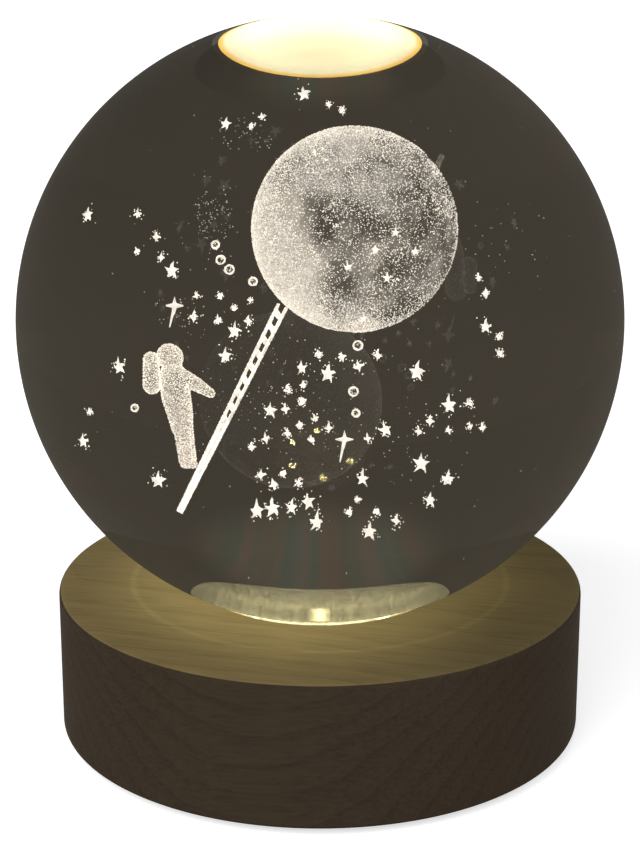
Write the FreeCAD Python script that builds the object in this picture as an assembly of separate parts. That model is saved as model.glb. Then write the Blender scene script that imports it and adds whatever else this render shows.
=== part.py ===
import FreeCAD, Part
import math
import os
import random

# Moon lamp: a solid crystal ball with an engraved night scene, resting in the seat of a turned
# wooden base. Six LEDs on the floor of a well in the base light the ball from below.
#
# Millimetres. +Z is up and the origin is on the table, under the middle of the base.
# The engraved scene faces -Y, and the power socket is at the back, at +Y.

V = FreeCAD.Vector
UP = V(0, 0, 1)
BACK = V(0, 1, 0)

# ---------------------------------------------------------------- driving dimensions

# Crystal ball and its seat
ball_diameter = 80.0
seat_mouth_diameter = 33.8
seat_clearance = 0.2

# Wooden base
base_diameter = 71.4
base_height = 19.8
edge_round = 0.8
well_diameter = 31.2
well_depth = 10.6
web_thickness = 2.6
pocket_diameter = 55.0
wire_hole_diameter = 5.0
wire_hole_offset = 6.0

# Bottom cover, its screws and the feet
cover_diameter = 63.6
cover_thickness = 1.6
cover_clearance = 0.2
cover_screw_circle_diameter = 59.2
cover_screw_length = 8.0
cover_screw_angles = (30, 150, 270)
foot_diameter = 9.0
foot_thickness = 1.2
foot_recess = 0.2
foot_circle_diameter = 46.0
foot_count = 4

# Screws, all of one size
screw_shank_diameter = 1.8
screw_head_diameter = 3.2
screw_head_height = 1.0
screw_hole_clearance = 0.15

# LED board in the well
board_clearance = 0.3
board_thickness = 1.6
board_screw_offset = 6.0
board_screw_length = 3.6
led_count = 6
led_ring_diameter = 21.2
led_phase = 35.3
led_length = 3.5
led_width = 2.8
led_height = 0.8
lens_diameter = 2.3
lens_cup_depth = 0.5
lens_rise = 0.2
chip_length = 2.0
chip_width = 1.25
chip_height = 0.5
led_chip_offset = 3.0

# Power socket, its board and the leads
socket_width = 8.94
socket_height = 3.26
socket_wall = 0.3
socket_length = 9.0
socket_setback = 0.8
socket_clearance = 0.3
tongue_block_length = 2.8
tongue_width = 6.6
tongue_thickness = 0.7
tongue_setback = 0.9
recess_width = 12.4
recess_height = 6.0
recess_depth = 1.8
port_wall = 4.9
cut_overrun = 1.0
port_board_width = 13.8
port_board_length = 11.0
port_board_thickness = 1.0
port_board_clearance = 0.3
port_screw_spacing = 9.8
port_screw_length = 4.6
port_screw_setback = 4.2
port_chip_spacing = 3.2
port_chip_setback = 5.2
lead_diameter = 1.0
lead_spacing = 2.4
lead_gap = 0.05
lead_landing = 1.8
solder_diameter = 1.7
solder_height = 0.8

# Engraved scene, measured from the ball's centre: x to the right, z up
viewing_tilt = 17.5
moon_radius = 9.2
moon_x = 3.1
moon_z = 8.5
ladder_foot_x = -11.9
ladder_foot_z = -16.7
ladder_moon_gap = 0.3
ladder_foot_width = 0.6
ladder_top_width = 1.15
ladder_rail = 0.2
ladder_pitch = 0.9
figure_x = -12.9
figure_z = -5.8
helmet_radius = 0.95
body_radius = 0.95
hip_radius = 0.85
upper_arm_radius = 0.42
forearm_radius = 0.36
leg_radius = 0.55
boot_radius = 0.5
limb_spread = 1.1
backpack_width = 1.25
backpack_height = 3.9
backpack_depth = 1.6
backpack_edge = 0.45
bright_star_points = 5
bright_star_waist = 0.5
bright_star_size = 1.55
small_star_points = 4
small_star_waist = 0.38
small_star_size = 0.95
star_thickness = 0.45
star_moon_gap = 0.7
ring_outer_diameter = 1.1
ring_hole_diameter = 0.4
comet_waist = 0.3
tail_length = 2.0
tail_start_diameter = 0.32
tail_end_diameter = 0.1

# ---------------------------------------------------------------- what follows from them

ball_radius = ball_diameter / 2
base_radius = base_diameter / 2
foot_lift = foot_thickness - foot_recess
base_bottom = foot_lift
base_top = base_bottom + base_height
seat_radius = ball_radius + seat_clearance
ball_centre_z = base_top + math.sqrt(seat_radius ** 2 - (seat_mouth_diameter / 2) ** 2)
well_floor = base_top - well_depth
pocket_top = well_floor - web_thickness
cover_top = base_bottom + cover_thickness
board_top = well_floor + board_thickness
led_top = board_top + led_height
bay_back = base_radius - port_wall
port_board_bottom = pocket_top - port_board_thickness
port_board_back = bay_back - port_board_clearance
port_board_front = port_board_back - port_board_length
socket_z = port_board_bottom - socket_height / 2
socket_mouth = base_radius - socket_setback
socket_back = socket_mouth - socket_length


# ---------------------------------------------------------------- shared helpers

def polar(radius, degrees, z=0.0):
    """A point on a circle about the Z axis."""
    angle = math.radians(degrees)
    return V(radius * math.cos(angle), radius * math.sin(angle), z)


def cylinder(diameter, height, base, direction=UP):
    return Part.makeCylinder(diameter / 2, height, base, direction)


def centred_box(size_x, size_y, size_z, x, y, z_low):
    """A box centred on x and y, standing on z_low."""
    return Part.makeBox(size_x, size_y, size_z, V(x - size_x / 2, y - size_y / 2, z_low))


def stadium(width, height, length, y_start, z):
    """A bar with round ends to its section, along +Y."""
    radius = height / 2
    half = width / 2 - radius
    low = [V(-half, y_start, z - radius), V(half, y_start, z - radius)]
    high = [V(half, y_start, z + radius), V(-half, y_start, z + radius)]
    outline = [
        Part.makeLine(low[0], low[1]),
        Part.Arc(low[1], V(half + radius, y_start, z), high[0]).toShape(),
        Part.makeLine(high[0], high[1]),
        Part.Arc(high[1], V(-half - radius, y_start, z), low[0]).toShape(),
    ]
    return Part.Face(Part.Wire(outline)).extrude(V(0, length, 0))


def prism(points, thickness, y):
    """A plate with the outline points (x, z), centred on the plane at y."""
    corners = [V(x, y - thickness / 2, z) for x, z in points]
    return Part.Face(Part.makePolygon(corners + corners[:1])).extrude(V(0, thickness, 0))


def capsule(start, end, radius):
    """A rounded limb from start to end."""
    along = end.sub(start)
    limb = Part.makeCylinder(radius, along.Length, start, along)
    return limb.multiFuse([Part.makeSphere(radius, start), Part.makeSphere(radius, end)])


def dome(radius, rise):
    """An arc in the XZ plane from the rim of a shallow dome up to its crown on the axis."""
    sphere = (radius ** 2 + rise ** 2) / (2 * rise)
    half_turn = math.asin(min(1.0, radius / sphere)) / 2
    middle = V(sphere * math.sin(half_turn), 0, rise - sphere + sphere * math.cos(half_turn))
    return Part.Arc(V(radius, 0, 0), middle, V(0, 0, rise)).toShape()


def revolved(edges):
    """A solid of revolution about Z from a closed outline in the XZ plane."""
    return Part.Face(Part.Wire(edges)).revolve(V(0, 0, 0), UP, 360)


def save(name, *solids):
    """Writes one sub-part, whose repeated pieces stay separate solids."""
    shape = solids[0] if len(solids) == 1 else Part.makeCompound(list(solids))
    shape.exportStep(f"parts/{name}.step")


# ---------------------------------------------------------------- wooden base

def turned_blank():
    """The turned body: seat and well above, pocket and cover rebate below."""
    seat_low_z = ball_centre_z - math.sqrt(seat_radius ** 2 - (well_diameter / 2) ** 2)
    seat_mid = (seat_mouth_diameter + well_diameter) / 4
    seat_mid_z = ball_centre_z - math.sqrt(seat_radius ** 2 - seat_mid ** 2)
    rebate = cover_diameter / 2 + cover_clearance
    pocket = pocket_diameter / 2
    bend = edge_round * (1 - math.sqrt(0.5))

    def at(r, z):
        return V(r, 0, z)

    lines = [
        (at(0, pocket_top), at(pocket, pocket_top)),
        (at(pocket, pocket_top), at(pocket, cover_top)),
        (at(pocket, cover_top), at(rebate, cover_top)),
        (at(rebate, cover_top), at(rebate, base_bottom)),
        (at(rebate, base_bottom), at(base_radius - edge_round, base_bottom)),
        (at(base_radius, base_bottom + edge_round), at(base_radius, base_top - edge_round)),
        (at(base_radius - edge_round, base_top), at(seat_mouth_diameter / 2, base_top)),
        (at(well_diameter / 2, seat_low_z), at(well_diameter / 2, well_floor)),
        (at(well_diameter / 2, well_floor), at(0, well_floor)),
        (at(0, well_floor), at(0, pocket_top)),
    ]
    edges = [Part.makeLine(a, b) for a, b in lines]
    lower_edge = Part.Arc(at(base_radius - edge_round, base_bottom),
                          at(base_radius - bend, base_bottom + bend),
                          at(base_radius, base_bottom + edge_round))
    upper_edge = Part.Arc(at(base_radius, base_top - edge_round),
                          at(base_radius - bend, base_top - bend),
                          at(base_radius - edge_round, base_top))
    seat = Part.Arc(at(seat_mouth_diameter / 2, base_top),
                    at(seat_mid, seat_mid_z),
                    at(well_diameter / 2, seat_low_z))
    edges.insert(5, lower_edge.toShape())
    edges.insert(7, upper_edge.toShape())
    edges.insert(9, seat.toShape())
    return revolved(edges)


def socket_bay():
    """The notch behind the pocket that lets the port board reach the back wall."""
    width = port_board_width + 2 * port_board_clearance
    front = port_board_front - port_board_clearance
    middle = (bay_back + front) / 2
    return centred_box(width, bay_back - front, pocket_top - cover_top, 0, middle, cover_top)


def socket_passage():
    """The slot through the back wall and the shallow recess that takes a plug's body."""
    slot = stadium(socket_width + 2 * socket_clearance, socket_height + 2 * socket_clearance,
                   base_radius - bay_back + 2 * cut_overrun, bay_back - cut_overrun, socket_z)
    recess = stadium(recess_width, recess_height, recess_depth + cut_overrun,
                     base_radius - recess_depth, socket_z)
    return slot, recess


def pilot_holes():
    """Screw holes in the wood, under the LED board, the port board and the cover."""
    board_bite = board_screw_length - board_thickness
    port_bite = port_screw_length - port_board_thickness
    holes = [cylinder(screw_shank_diameter, board_bite, V(x, 0, well_floor - board_bite))
             for x in (-board_screw_offset, board_screw_offset)]
    holes += [cylinder(screw_shank_diameter, port_bite, V(p.x, p.y, pocket_top))
              for p in port_screw_places()]
    holes += [cylinder(screw_shank_diameter, cover_screw_length - cover_thickness, p)
              for p in cover_screw_places(cover_top)]
    return holes


def wooden_base():
    wire_hole = cylinder(wire_hole_diameter, web_thickness, V(0, wire_hole_offset, pocket_top))
    cuts = [socket_bay(), *socket_passage(), wire_hole, *pilot_holes()]
    return turned_blank().cut(cuts)


# ---------------------------------------------------------------- bottom cover, screws, feet

def cover_screw_places(z):
    return [polar(cover_screw_circle_diameter / 2, angle, z) for angle in cover_screw_angles]


def foot_places(z):
    return [polar(foot_circle_diameter / 2, 45 + 360 * k / foot_count, z) for k in range(foot_count)]


def countersink(extra):
    """A countersunk head pointing up, larger all round by extra."""
    small = screw_shank_diameter / 2 + extra
    large = screw_head_diameter / 2 + extra
    return Part.makeCone(large, small, screw_head_height)


def bottom_cover():
    cover = cylinder(cover_diameter, cover_thickness, V(0, 0, base_bottom))
    hole = screw_shank_diameter + 2 * screw_hole_clearance
    cuts = []
    for place in cover_screw_places(base_bottom):
        sink = countersink(screw_hole_clearance)
        sink.translate(place)
        cuts += [sink, cylinder(hole, cover_thickness, place)]
    cuts += [cylinder(foot_diameter, foot_recess, p) for p in foot_places(base_bottom)]
    return cover.cut(cuts)


def cover_screw(place):
    shank = Part.makeCylinder(screw_shank_diameter / 2, cover_screw_length)
    screw = countersink(0).fuse(shank)
    screw.translate(place)
    return screw


def pan_screw(place, length, head_up):
    """A round-headed screw whose head stands on place and whose shank goes the other way."""
    radius = screw_head_diameter / 2
    head = [
        Part.makeLine(V(0, 0, 0), V(radius, 0, 0)),
        dome(radius, screw_head_height),
        Part.makeLine(V(0, 0, screw_head_height), V(0, 0, 0)),
    ]
    shank = cylinder(screw_shank_diameter, length, V(0, 0, -length))
    screw = revolved(head).fuse(shank)
    if not head_up:
        screw.rotate(V(0, 0, 0), V(1, 0, 0), 180)
    screw.translate(place)
    return screw


def rubber_foot(place):
    foot = cylinder(foot_diameter, foot_thickness, V(place.x, place.y, 0))
    rim = [e for e in foot.Edges if e.BoundBox.ZMax < 0.01]
    return foot.makeChamfer(foot_thickness * 0.25, rim)


# ---------------------------------------------------------------- LED board

def led_board():
    board = cylinder(well_diameter - 2 * board_clearance, board_thickness, V(0, 0, well_floor))
    hole = screw_shank_diameter + 2 * screw_hole_clearance
    cuts = [cylinder(hole, board_thickness, V(x, 0, well_floor))
            for x in (-board_screw_offset, board_screw_offset)]
    return board.cut(cuts)


def led_places(z):
    return [polar(led_ring_diameter / 2, led_phase + 360 * k / led_count, z)
            for k in range(led_count)]


def led_packages():
    packages = []
    for k, place in enumerate(led_places(board_top)):
        body = centred_box(led_length, led_width, led_height, 0, 0, 0)
        cup = cylinder(lens_diameter, lens_cup_depth, V(0, 0, led_height - lens_cup_depth))
        body = body.cut(cup)
        body.rotate(V(0, 0, 0), UP, led_phase + 360 * k / led_count + 90)
        body.translate(place)
        packages.append(body)
    return packages


def led_lenses():
    lenses = []
    radius = lens_diameter / 2
    for place in led_places(led_top):
        section = [
            Part.makeLine(V(0, 0, -lens_cup_depth), V(radius, 0, -lens_cup_depth)),
            Part.makeLine(V(radius, 0, -lens_cup_depth), V(radius, 0, 0)),
            dome(radius, lens_rise),
            Part.makeLine(V(0, 0, lens_rise), V(0, 0, -lens_cup_depth)),
        ]
        lens = revolved(section)
        lens.translate(place)
        lenses.append(lens)
    return lenses


def chip(x, y, z_low):
    """A chip resistor with its metal ends a little proud of the body."""
    end = chip_length * 0.2
    body = centred_box(chip_length - 2 * end, chip_width, chip_height * 0.9, x, y, z_low)
    ends = [centred_box(end, chip_width, chip_height, x + s * (chip_length - end) / 2, y, z_low)
            for s in (-1, 1)]
    return body.multiFuse(ends)


# ---------------------------------------------------------------- power socket and leads

def port_screw_places():
    y = port_board_front + port_screw_setback
    return [V(s * port_screw_spacing / 2, y, port_board_bottom) for s in (-1, 1)]


def port_board():
    middle = (port_board_front + port_board_back) / 2
    board = centred_box(port_board_width, port_board_length, port_board_thickness,
                        0, middle, port_board_bottom)
    hole = screw_shank_diameter + 2 * screw_hole_clearance
    return board.cut([cylinder(hole, port_board_thickness, p) for p in port_screw_places()])


def port_chips():
    y = port_board_front + port_chip_setback
    return [chip(s * port_chip_spacing / 2, y, port_board_bottom - chip_height) for s in (-1, 1)]


def socket_shell():
    outer = stadium(socket_width, socket_height, socket_length, socket_back, socket_z)
    inner = stadium(socket_width - 2 * socket_wall, socket_height - 2 * socket_wall,
                    socket_length, socket_back, socket_z)
    return outer.cut(inner)


def socket_tongue():
    block = stadium(socket_width - 2 * socket_wall, socket_height - 2 * socket_wall,
                    tongue_block_length, socket_back, socket_z)
    reach = socket_length - tongue_setback
    tongue = centred_box(tongue_width, reach, tongue_thickness,
                         0, socket_back + reach / 2, socket_z - tongue_thickness / 2)
    return block.fuse(tongue)


def lead_ends(side):
    """The three corners of a lead: at the LED board, at its bend and at the port board."""
    x = side * lead_spacing / 2
    z = port_board_bottom - lead_gap - lead_diameter / 2
    y_end = port_board_front + lead_landing
    return V(x, wire_hole_offset, well_floor), V(x, wire_hole_offset, z), V(x, y_end, z)


def lead(side):
    """A lead from the LED board down through the web and back to the port board."""
    top, corner, end = lead_ends(side)
    bend = 0.45 * min(top.sub(corner).Length, end.sub(corner).Length)
    before = corner.add(V(0, 0, bend))
    after = corner.add(V(0, bend, 0))
    inside = bend * (1 - math.sqrt(0.5))
    middle = corner.add(V(0, inside, inside))
    path = Part.Wire([Part.makeLine(top, before), Part.Arc(before, middle, after).toShape(),
                      Part.makeLine(after, end)])
    section = Part.Wire(Part.makeCircle(lead_diameter / 2, top, V(0, 0, -1)))
    return path.makePipeShell([section], True, True)


def solder_joint(side):
    """The cone of solder that holds a lead's end to the port board."""
    end = lead_ends(side)[2]
    joint = Part.makeCone(solder_diameter / 2, solder_diameter / 4, solder_height)
    joint.rotate(V(0, 0, 0), V(1, 0, 0), 180)
    joint.translate(V(end.x, end.y + solder_diameter / 2, port_board_bottom))
    return joint


# ---------------------------------------------------------------- engraved scene

def in_ball(x, z, depth=0.0):
    """A place in the ball that a viewer sees at x and z, moved back along the line of sight."""
    return V(x, depth, ball_centre_z + z - depth * math.tan(math.radians(viewing_tilt)))


def star_outline(size, points, waist, turn):
    """The corners of a star, tip and waist by turns."""
    corners = []
    for k in range(2 * points):
        reach = size / 2 * (waist if k % 2 else 1)
        angle = math.radians(turn + 90 + 180 * k / points)
        corners.append((reach * math.cos(angle), reach * math.sin(angle)))
    return corners


def star(place, size, points=small_star_points, waist=small_star_waist, turn=0):
    plate = prism(star_outline(size, points, waist, turn), star_thickness, 0)
    plate.translate(place)
    return plate


def engraved_moon():
    return Part.makeSphere(moon_radius, in_ball(moon_x, moon_z))


def engraved_ladder():
    """Two rails that draw together towards the foot, with rungs between them."""
    moon = V(moon_x, 0, moon_z)
    foot = V(ladder_foot_x, 0, ladder_foot_z)
    along = moon.sub(foot)
    length = along.Length - moon_radius - ladder_moon_gap - ladder_top_width / 2
    foot_half = ladder_foot_width / 2
    top_half = ladder_top_width / 2
    rails = []
    for side in (-1, 1):
        inner = ladder_rail * side
        outline = [(side * foot_half, 0), (side * top_half, length),
                   (side * top_half - inner, length), (side * foot_half - inner, 0)]
        rails.append(prism(outline, ladder_rail, 0))
    rungs = []
    for k in range(int(length / ladder_pitch)):
        height = (k + 0.5) * ladder_pitch
        half = foot_half + (top_half - foot_half) * height / length - ladder_rail / 2
        rungs.append(centred_box(2 * half, ladder_rail, ladder_rail * 1.6, 0, 0, height))
    ladder = rails[0].multiFuse([rails[1], *rungs])
    lean = math.degrees(math.atan2(along.x, along.z))
    ladder.rotate(V(0, 0, 0), BACK, lean)
    ladder.translate(in_ball(foot.x, foot.z))
    return ladder


# The figure's joints, measured from the middle of its body
head_joint = (0.3, 2.6)
neck_joint = (0.1, 1.2)
waist_joint = (0.6, -1.6)
hip_joint = (0.9, -2.6)
shoulder_joint = (0.9, 1.2)
elbow_joint = (2.3, 0.5)
hand_joint = (3.7, -0.9)
ankle_joint = (1.8, -6.2)
toe_joint = (2.15, -6.5)
backpack_joint = (-1.65, 1.1)
backpack_lean = 3.0


def figure_point(joint, depth=0.0):
    """Where a joint of the figure is in the ball."""
    return in_ball(figure_x + joint[0], figure_z + joint[1], depth)


def engraved_astronaut():
    """A suited figure seen from the side, leaning towards the ladder."""
    helmet = Part.makeSphere(helmet_radius, figure_point(head_joint))
    chest = capsule(figure_point(neck_joint), figure_point(waist_joint), body_radius)
    hips = capsule(figure_point(waist_joint), figure_point(hip_joint), hip_radius)
    limbs = []
    for depth in (-limb_spread / 2, limb_spread / 2):
        shoulder = figure_point(shoulder_joint, depth)
        elbow = figure_point(elbow_joint, depth)
        hip = figure_point(hip_joint, depth)
        ankle = figure_point(ankle_joint, depth)
        limbs += [capsule(shoulder, elbow, upper_arm_radius),
                  capsule(elbow, figure_point(hand_joint, depth), forearm_radius),
                  capsule(hip, ankle, leg_radius),
                  capsule(ankle, figure_point(toe_joint, depth), boot_radius)]
    return helmet.multiFuse([chest, hips, *limbs])


def engraved_backpack():
    """The rounded pack on the figure's back."""
    pack = centred_box(backpack_width, backpack_depth, backpack_height, 0, 0, -backpack_height / 2)
    pack = pack.makeFillet(backpack_edge, pack.Edges)
    pack.rotate(V(0, 0, 0), BACK, backpack_lean)
    pack.translate(figure_point(backpack_joint))
    return pack


# Places of the bright stars, as a viewer in front of the ball sees them
bright_stars = [
    (-21.6, 10.2), (-13.1, 4.6), (-8.8, 19.0), (-1.5, 22.0), (-7.5, -0.9), (-8.3, -3.2),
    (-17.5, -4.1), (-20.8, -10.9), (-14.0, -14.3), (-5.4, -16.8), (0.7, -4.7), (8.4, -4.6),
    (3.6, -13.8), (8.6, -12.5), (11.0, -14.1), (9.4, -15.9), (14.5, -0.5), (5.6, -9.6),
    (-4.3, -8.0), (-2.4, -16.2), (-0.3, -17.5), (4.2, -18.5), (-1.6, -4.3), (11.2, -7.6),
    (-4.0, -16.3), (-1.0, -15.9),
]

# Stars that float in front of the moon
stars_before_moon = [(9.2, 6.4), (7.3, 8.3), (6.4, 3.7), (2.7, 4.8), (5.3, 6.5), (4.1, -0.3)]

# Groups of small stars: middle, half width and height of the group, and how many
small_star_groups = [
    ((-14.5, 7.5), (2.2, 2.6), 4), ((-6.5, 19.6), (1.6, 1.0), 2), ((2.2, 20.4), (1.6, 0.6), 2),
    ((-8.7, 0.9), (2.8, 1.4), 8), ((-20.3, -8.6), (0.6, 1.0), 2), ((-11.9, -15.4), (0.5, 0.6), 1),
    ((-3.4, -6.2), (2.2, 1.6), 5), ((-2.6, -9.4), (2.4, 1.3), 5), ((-7.2, -10.8), (1.4, 0.8), 3),
    ((-3.4, -14.0), (1.6, 0.9), 6), ((2.4, -3.4), (2.8, 0.9), 6), ((2.2, -9.6), (2.0, 0.8), 4),
    ((9.8, -9.0), (1.4, 1.2), 4), ((13.4, -8.2), (0.8, 1.6), 3), ((3.9, -16.8), (2.6, 1.2), 5),
    ((15.4, -2.2), (0.8, 1.0), 2), ((14.1, 3.3), (0.5, 0.9), 2),
]

# Small planets, and the stars that trail a tail
ring_places = [
    (-9.3, 7.0), (-8.8, 5.6), (-8.0, 4.7), (-5.9, 3.6), (-16.1, -7.8), (3.3, -2.2), (2.9, -6.3),
    (3.1, -8.2),
]
comet_places = [(-12.8, 1.4), (2.1, -10.5)]


def engraved_bright_stars():
    chance = random.Random(5)
    stars = []
    for x, z in bright_stars:
        size = bright_star_size * chance.uniform(0.8, 1.1)
        place = in_ball(x, z, chance.uniform(-0.8, 0.8))
        stars.append(star(place, size, bright_star_points, bright_star_waist,
                          turn=chance.uniform(-20, 20)))
    for x, z in stars_before_moon:
        place = in_ball(x, z, -moon_radius - star_moon_gap)
        stars.append(star(place, small_star_size, turn=chance.uniform(-20, 20)))
    return stars


def clear_of(place, taken, gap):
    return all(math.hypot(place[0] - x, place[1] - z) > gap for x, z in taken)


def engraved_small_stars():
    """Small stars scattered in their groups, clear of each other and of the rest of the scene."""
    chance = random.Random(11)
    taken = bright_stars + ring_places + comet_places
    gap = (bright_star_size + small_star_size) / 2 + 0.1
    stars = []
    for (mid_x, mid_z), (half_x, half_z), count in small_star_groups:
        for _ in range(count):
            for _ in range(40):
                x = mid_x + chance.uniform(-half_x, half_x)
                z = mid_z + chance.uniform(-half_z, half_z)
                if clear_of((x, z), taken, gap) and off_figures(x, z):
                    size = small_star_size * chance.uniform(0.55, 1.0)
                    place = in_ball(x, z, chance.uniform(-1.2, 1.2))
                    stars.append(star(place, size, turn=chance.uniform(-25, 25)))
                    taken = taken + [(x, z)]
                    break
    return stars


def off_figures(x, z):
    """Whether a small star at x, z is clear of the moon, the ladder and the figure."""
    if math.hypot(x - moon_x, z - moon_z) < moon_radius + small_star_size:
        return False
    run = (z - ladder_foot_z) / (moon_z - ladder_foot_z)
    ladder_x = ladder_foot_x + run * (moon_x - ladder_foot_x)
    if abs(x - ladder_x) < ladder_top_width + small_star_size / 2:
        return False
    return not (abs(x - figure_x - 0.6) < 4.2 and abs(z - figure_z + 1.7) < 6.2)


def engraved_planets():
    """Small planets, each a flat ring that faces the viewer."""
    rings = []
    for x, z in ring_places:
        near = in_ball(x, z).sub(V(0, star_thickness / 2, 0))
        disc = cylinder(ring_outer_diameter, star_thickness, near, BACK)
        rings.append(disc.cut(cylinder(ring_hole_diameter, star_thickness, near, BACK)))
    return rings


def engraved_comets():
    comets = []
    for x, z in comet_places:
        head = star(in_ball(x, z), bright_star_size, waist=comet_waist)
        tail = Part.makeCone(tail_start_diameter / 2, tail_end_diameter / 2, tail_length,
                             in_ball(x, z), V(-0.2, 0, -1))
        comets.append(head.fuse(tail))
    return comets


# ---------------------------------------------------------------- the whole lamp

def main():
    os.makedirs("parts", exist_ok=True)
    save("wood_base", wooden_base())
    save("bottom_cover", bottom_cover())
    save("cover_screws", *[cover_screw(p) for p in cover_screw_places(base_bottom)])
    save("rubber_feet", *[rubber_foot(p) for p in foot_places(0)])
    save("led_board", led_board())
    save("led_packages", *led_packages())
    save("led_lenses", *led_lenses())
    save("led_resistors", *[chip(0, s * led_chip_offset, board_top) for s in (-1, 1)])
    save("board_screws", *[pan_screw(V(x, 0, board_top), board_screw_length, True)
                           for x in (-board_screw_offset, board_screw_offset)])
    save("port_board", port_board())
    save("port_resistors", *port_chips())
    save("port_screws", *[pan_screw(p, port_screw_length, False) for p in port_screw_places()])
    save("socket_shell", socket_shell())
    save("socket_tongue", socket_tongue())
    save("lead_red", lead(-1))
    save("lead_black", lead(1))
    save("solder_joints", *[solder_joint(s) for s in (-1, 1)])
    save("crystal_ball", Part.makeSphere(ball_radius, V(0, 0, ball_centre_z)))
    save("engraved_moon", engraved_moon())
    save("engraved_ladder", engraved_ladder())
    save("engraved_astronaut", engraved_astronaut())
    save("engraved_backpack", engraved_backpack())
    save("engraved_bright_stars", *engraved_bright_stars())
    save("engraved_small_stars", *engraved_small_stars())
    save("engraved_planets", *engraved_planets())
    save("engraved_comets", *engraved_comets())


main()
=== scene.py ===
import logging
import math
import random
from dataclasses import dataclass
from enum import Enum
from functools import cache
from typing import ClassVar, Iterable, Iterator, Sequence

import bmesh
import bpy
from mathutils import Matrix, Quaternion, Vector, noise


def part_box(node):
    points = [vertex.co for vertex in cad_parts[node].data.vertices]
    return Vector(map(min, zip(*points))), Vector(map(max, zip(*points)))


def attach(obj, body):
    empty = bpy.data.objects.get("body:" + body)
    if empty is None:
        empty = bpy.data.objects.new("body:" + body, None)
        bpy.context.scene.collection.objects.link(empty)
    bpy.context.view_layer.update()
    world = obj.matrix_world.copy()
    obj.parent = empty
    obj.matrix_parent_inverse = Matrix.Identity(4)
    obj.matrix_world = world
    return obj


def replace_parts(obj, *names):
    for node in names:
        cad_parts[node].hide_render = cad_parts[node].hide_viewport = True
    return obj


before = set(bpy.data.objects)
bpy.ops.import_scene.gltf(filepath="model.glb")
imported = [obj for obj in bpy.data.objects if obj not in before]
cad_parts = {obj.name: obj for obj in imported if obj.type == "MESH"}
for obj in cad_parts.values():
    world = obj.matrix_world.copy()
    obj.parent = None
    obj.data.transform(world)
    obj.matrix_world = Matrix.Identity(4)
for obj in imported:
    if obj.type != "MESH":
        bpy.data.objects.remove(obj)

# Looks of the moon lamp: a clear crystal ball with an engraved night scene, which rests in the
# seat of a turned wooden base and is lit from the well under it. Lengths are in metres and most
# are written as a number of millimetres. The scene faces -Y and the power socket is at +Y.

LOG = logging.getLogger("moon_lamp")
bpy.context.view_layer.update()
MM = 0.001
FULL_TURN = 2 * math.pi
TURNED_FACES = 360
TOUCHING = 1e-6
NEARLY = 1e-5

Colour = tuple[float, float, float]
Point = tuple[float, float]
Socket = bpy.types.NodeSocket
WHITE: Colour = (1.0, 1.0, 1.0)


class Body(Enum):
    """The two bodies that a piece can ride on."""

    BASE = "base"
    BALL = "ball"


def srgb(red: int, green: int, blue: int) -> Colour:
    """Turns a colour as a screen shows it into the linear one that a shader takes.

    Args:
        red: red from 0 to 255.
        green: green from 0 to 255.
        blue: blue from 0 to 255.

    Returns:
        The linear colour.
    """

    def linear(value: int) -> float:
        """Undoes the screen's curve for one channel."""
        share = value / 255
        return share / 12.92 if share <= 0.04045 else ((share + 0.055) / 1.055) ** 2.4

    return linear(red), linear(green), linear(blue)


def darker(colour: Colour, share: float) -> Colour:
    """A colour with only a share of its light."""
    return tuple(share * part for part in colour)


def blend(first: float, second: float, share: float) -> float:
    """A value between first and second."""
    return first + (second - first) * share


@cache
def extent(node: str) -> tuple[Vector, Vector]:
    """The lowest and highest corner of a CAD node."""
    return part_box(node)


@cache
def middle(node: str) -> Vector:
    """The middle of a CAD node's box."""
    low, high = extent(node)
    return (low + high) / 2


def half_size(node: str, axis: int = 2) -> float:
    """Half of a CAD node's size along an axis, which is its height unless told."""
    low, high = extent(node)
    return (high[axis] - low[axis]) / 2


# ---------------------------------------------------------------- shader nodes


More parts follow.
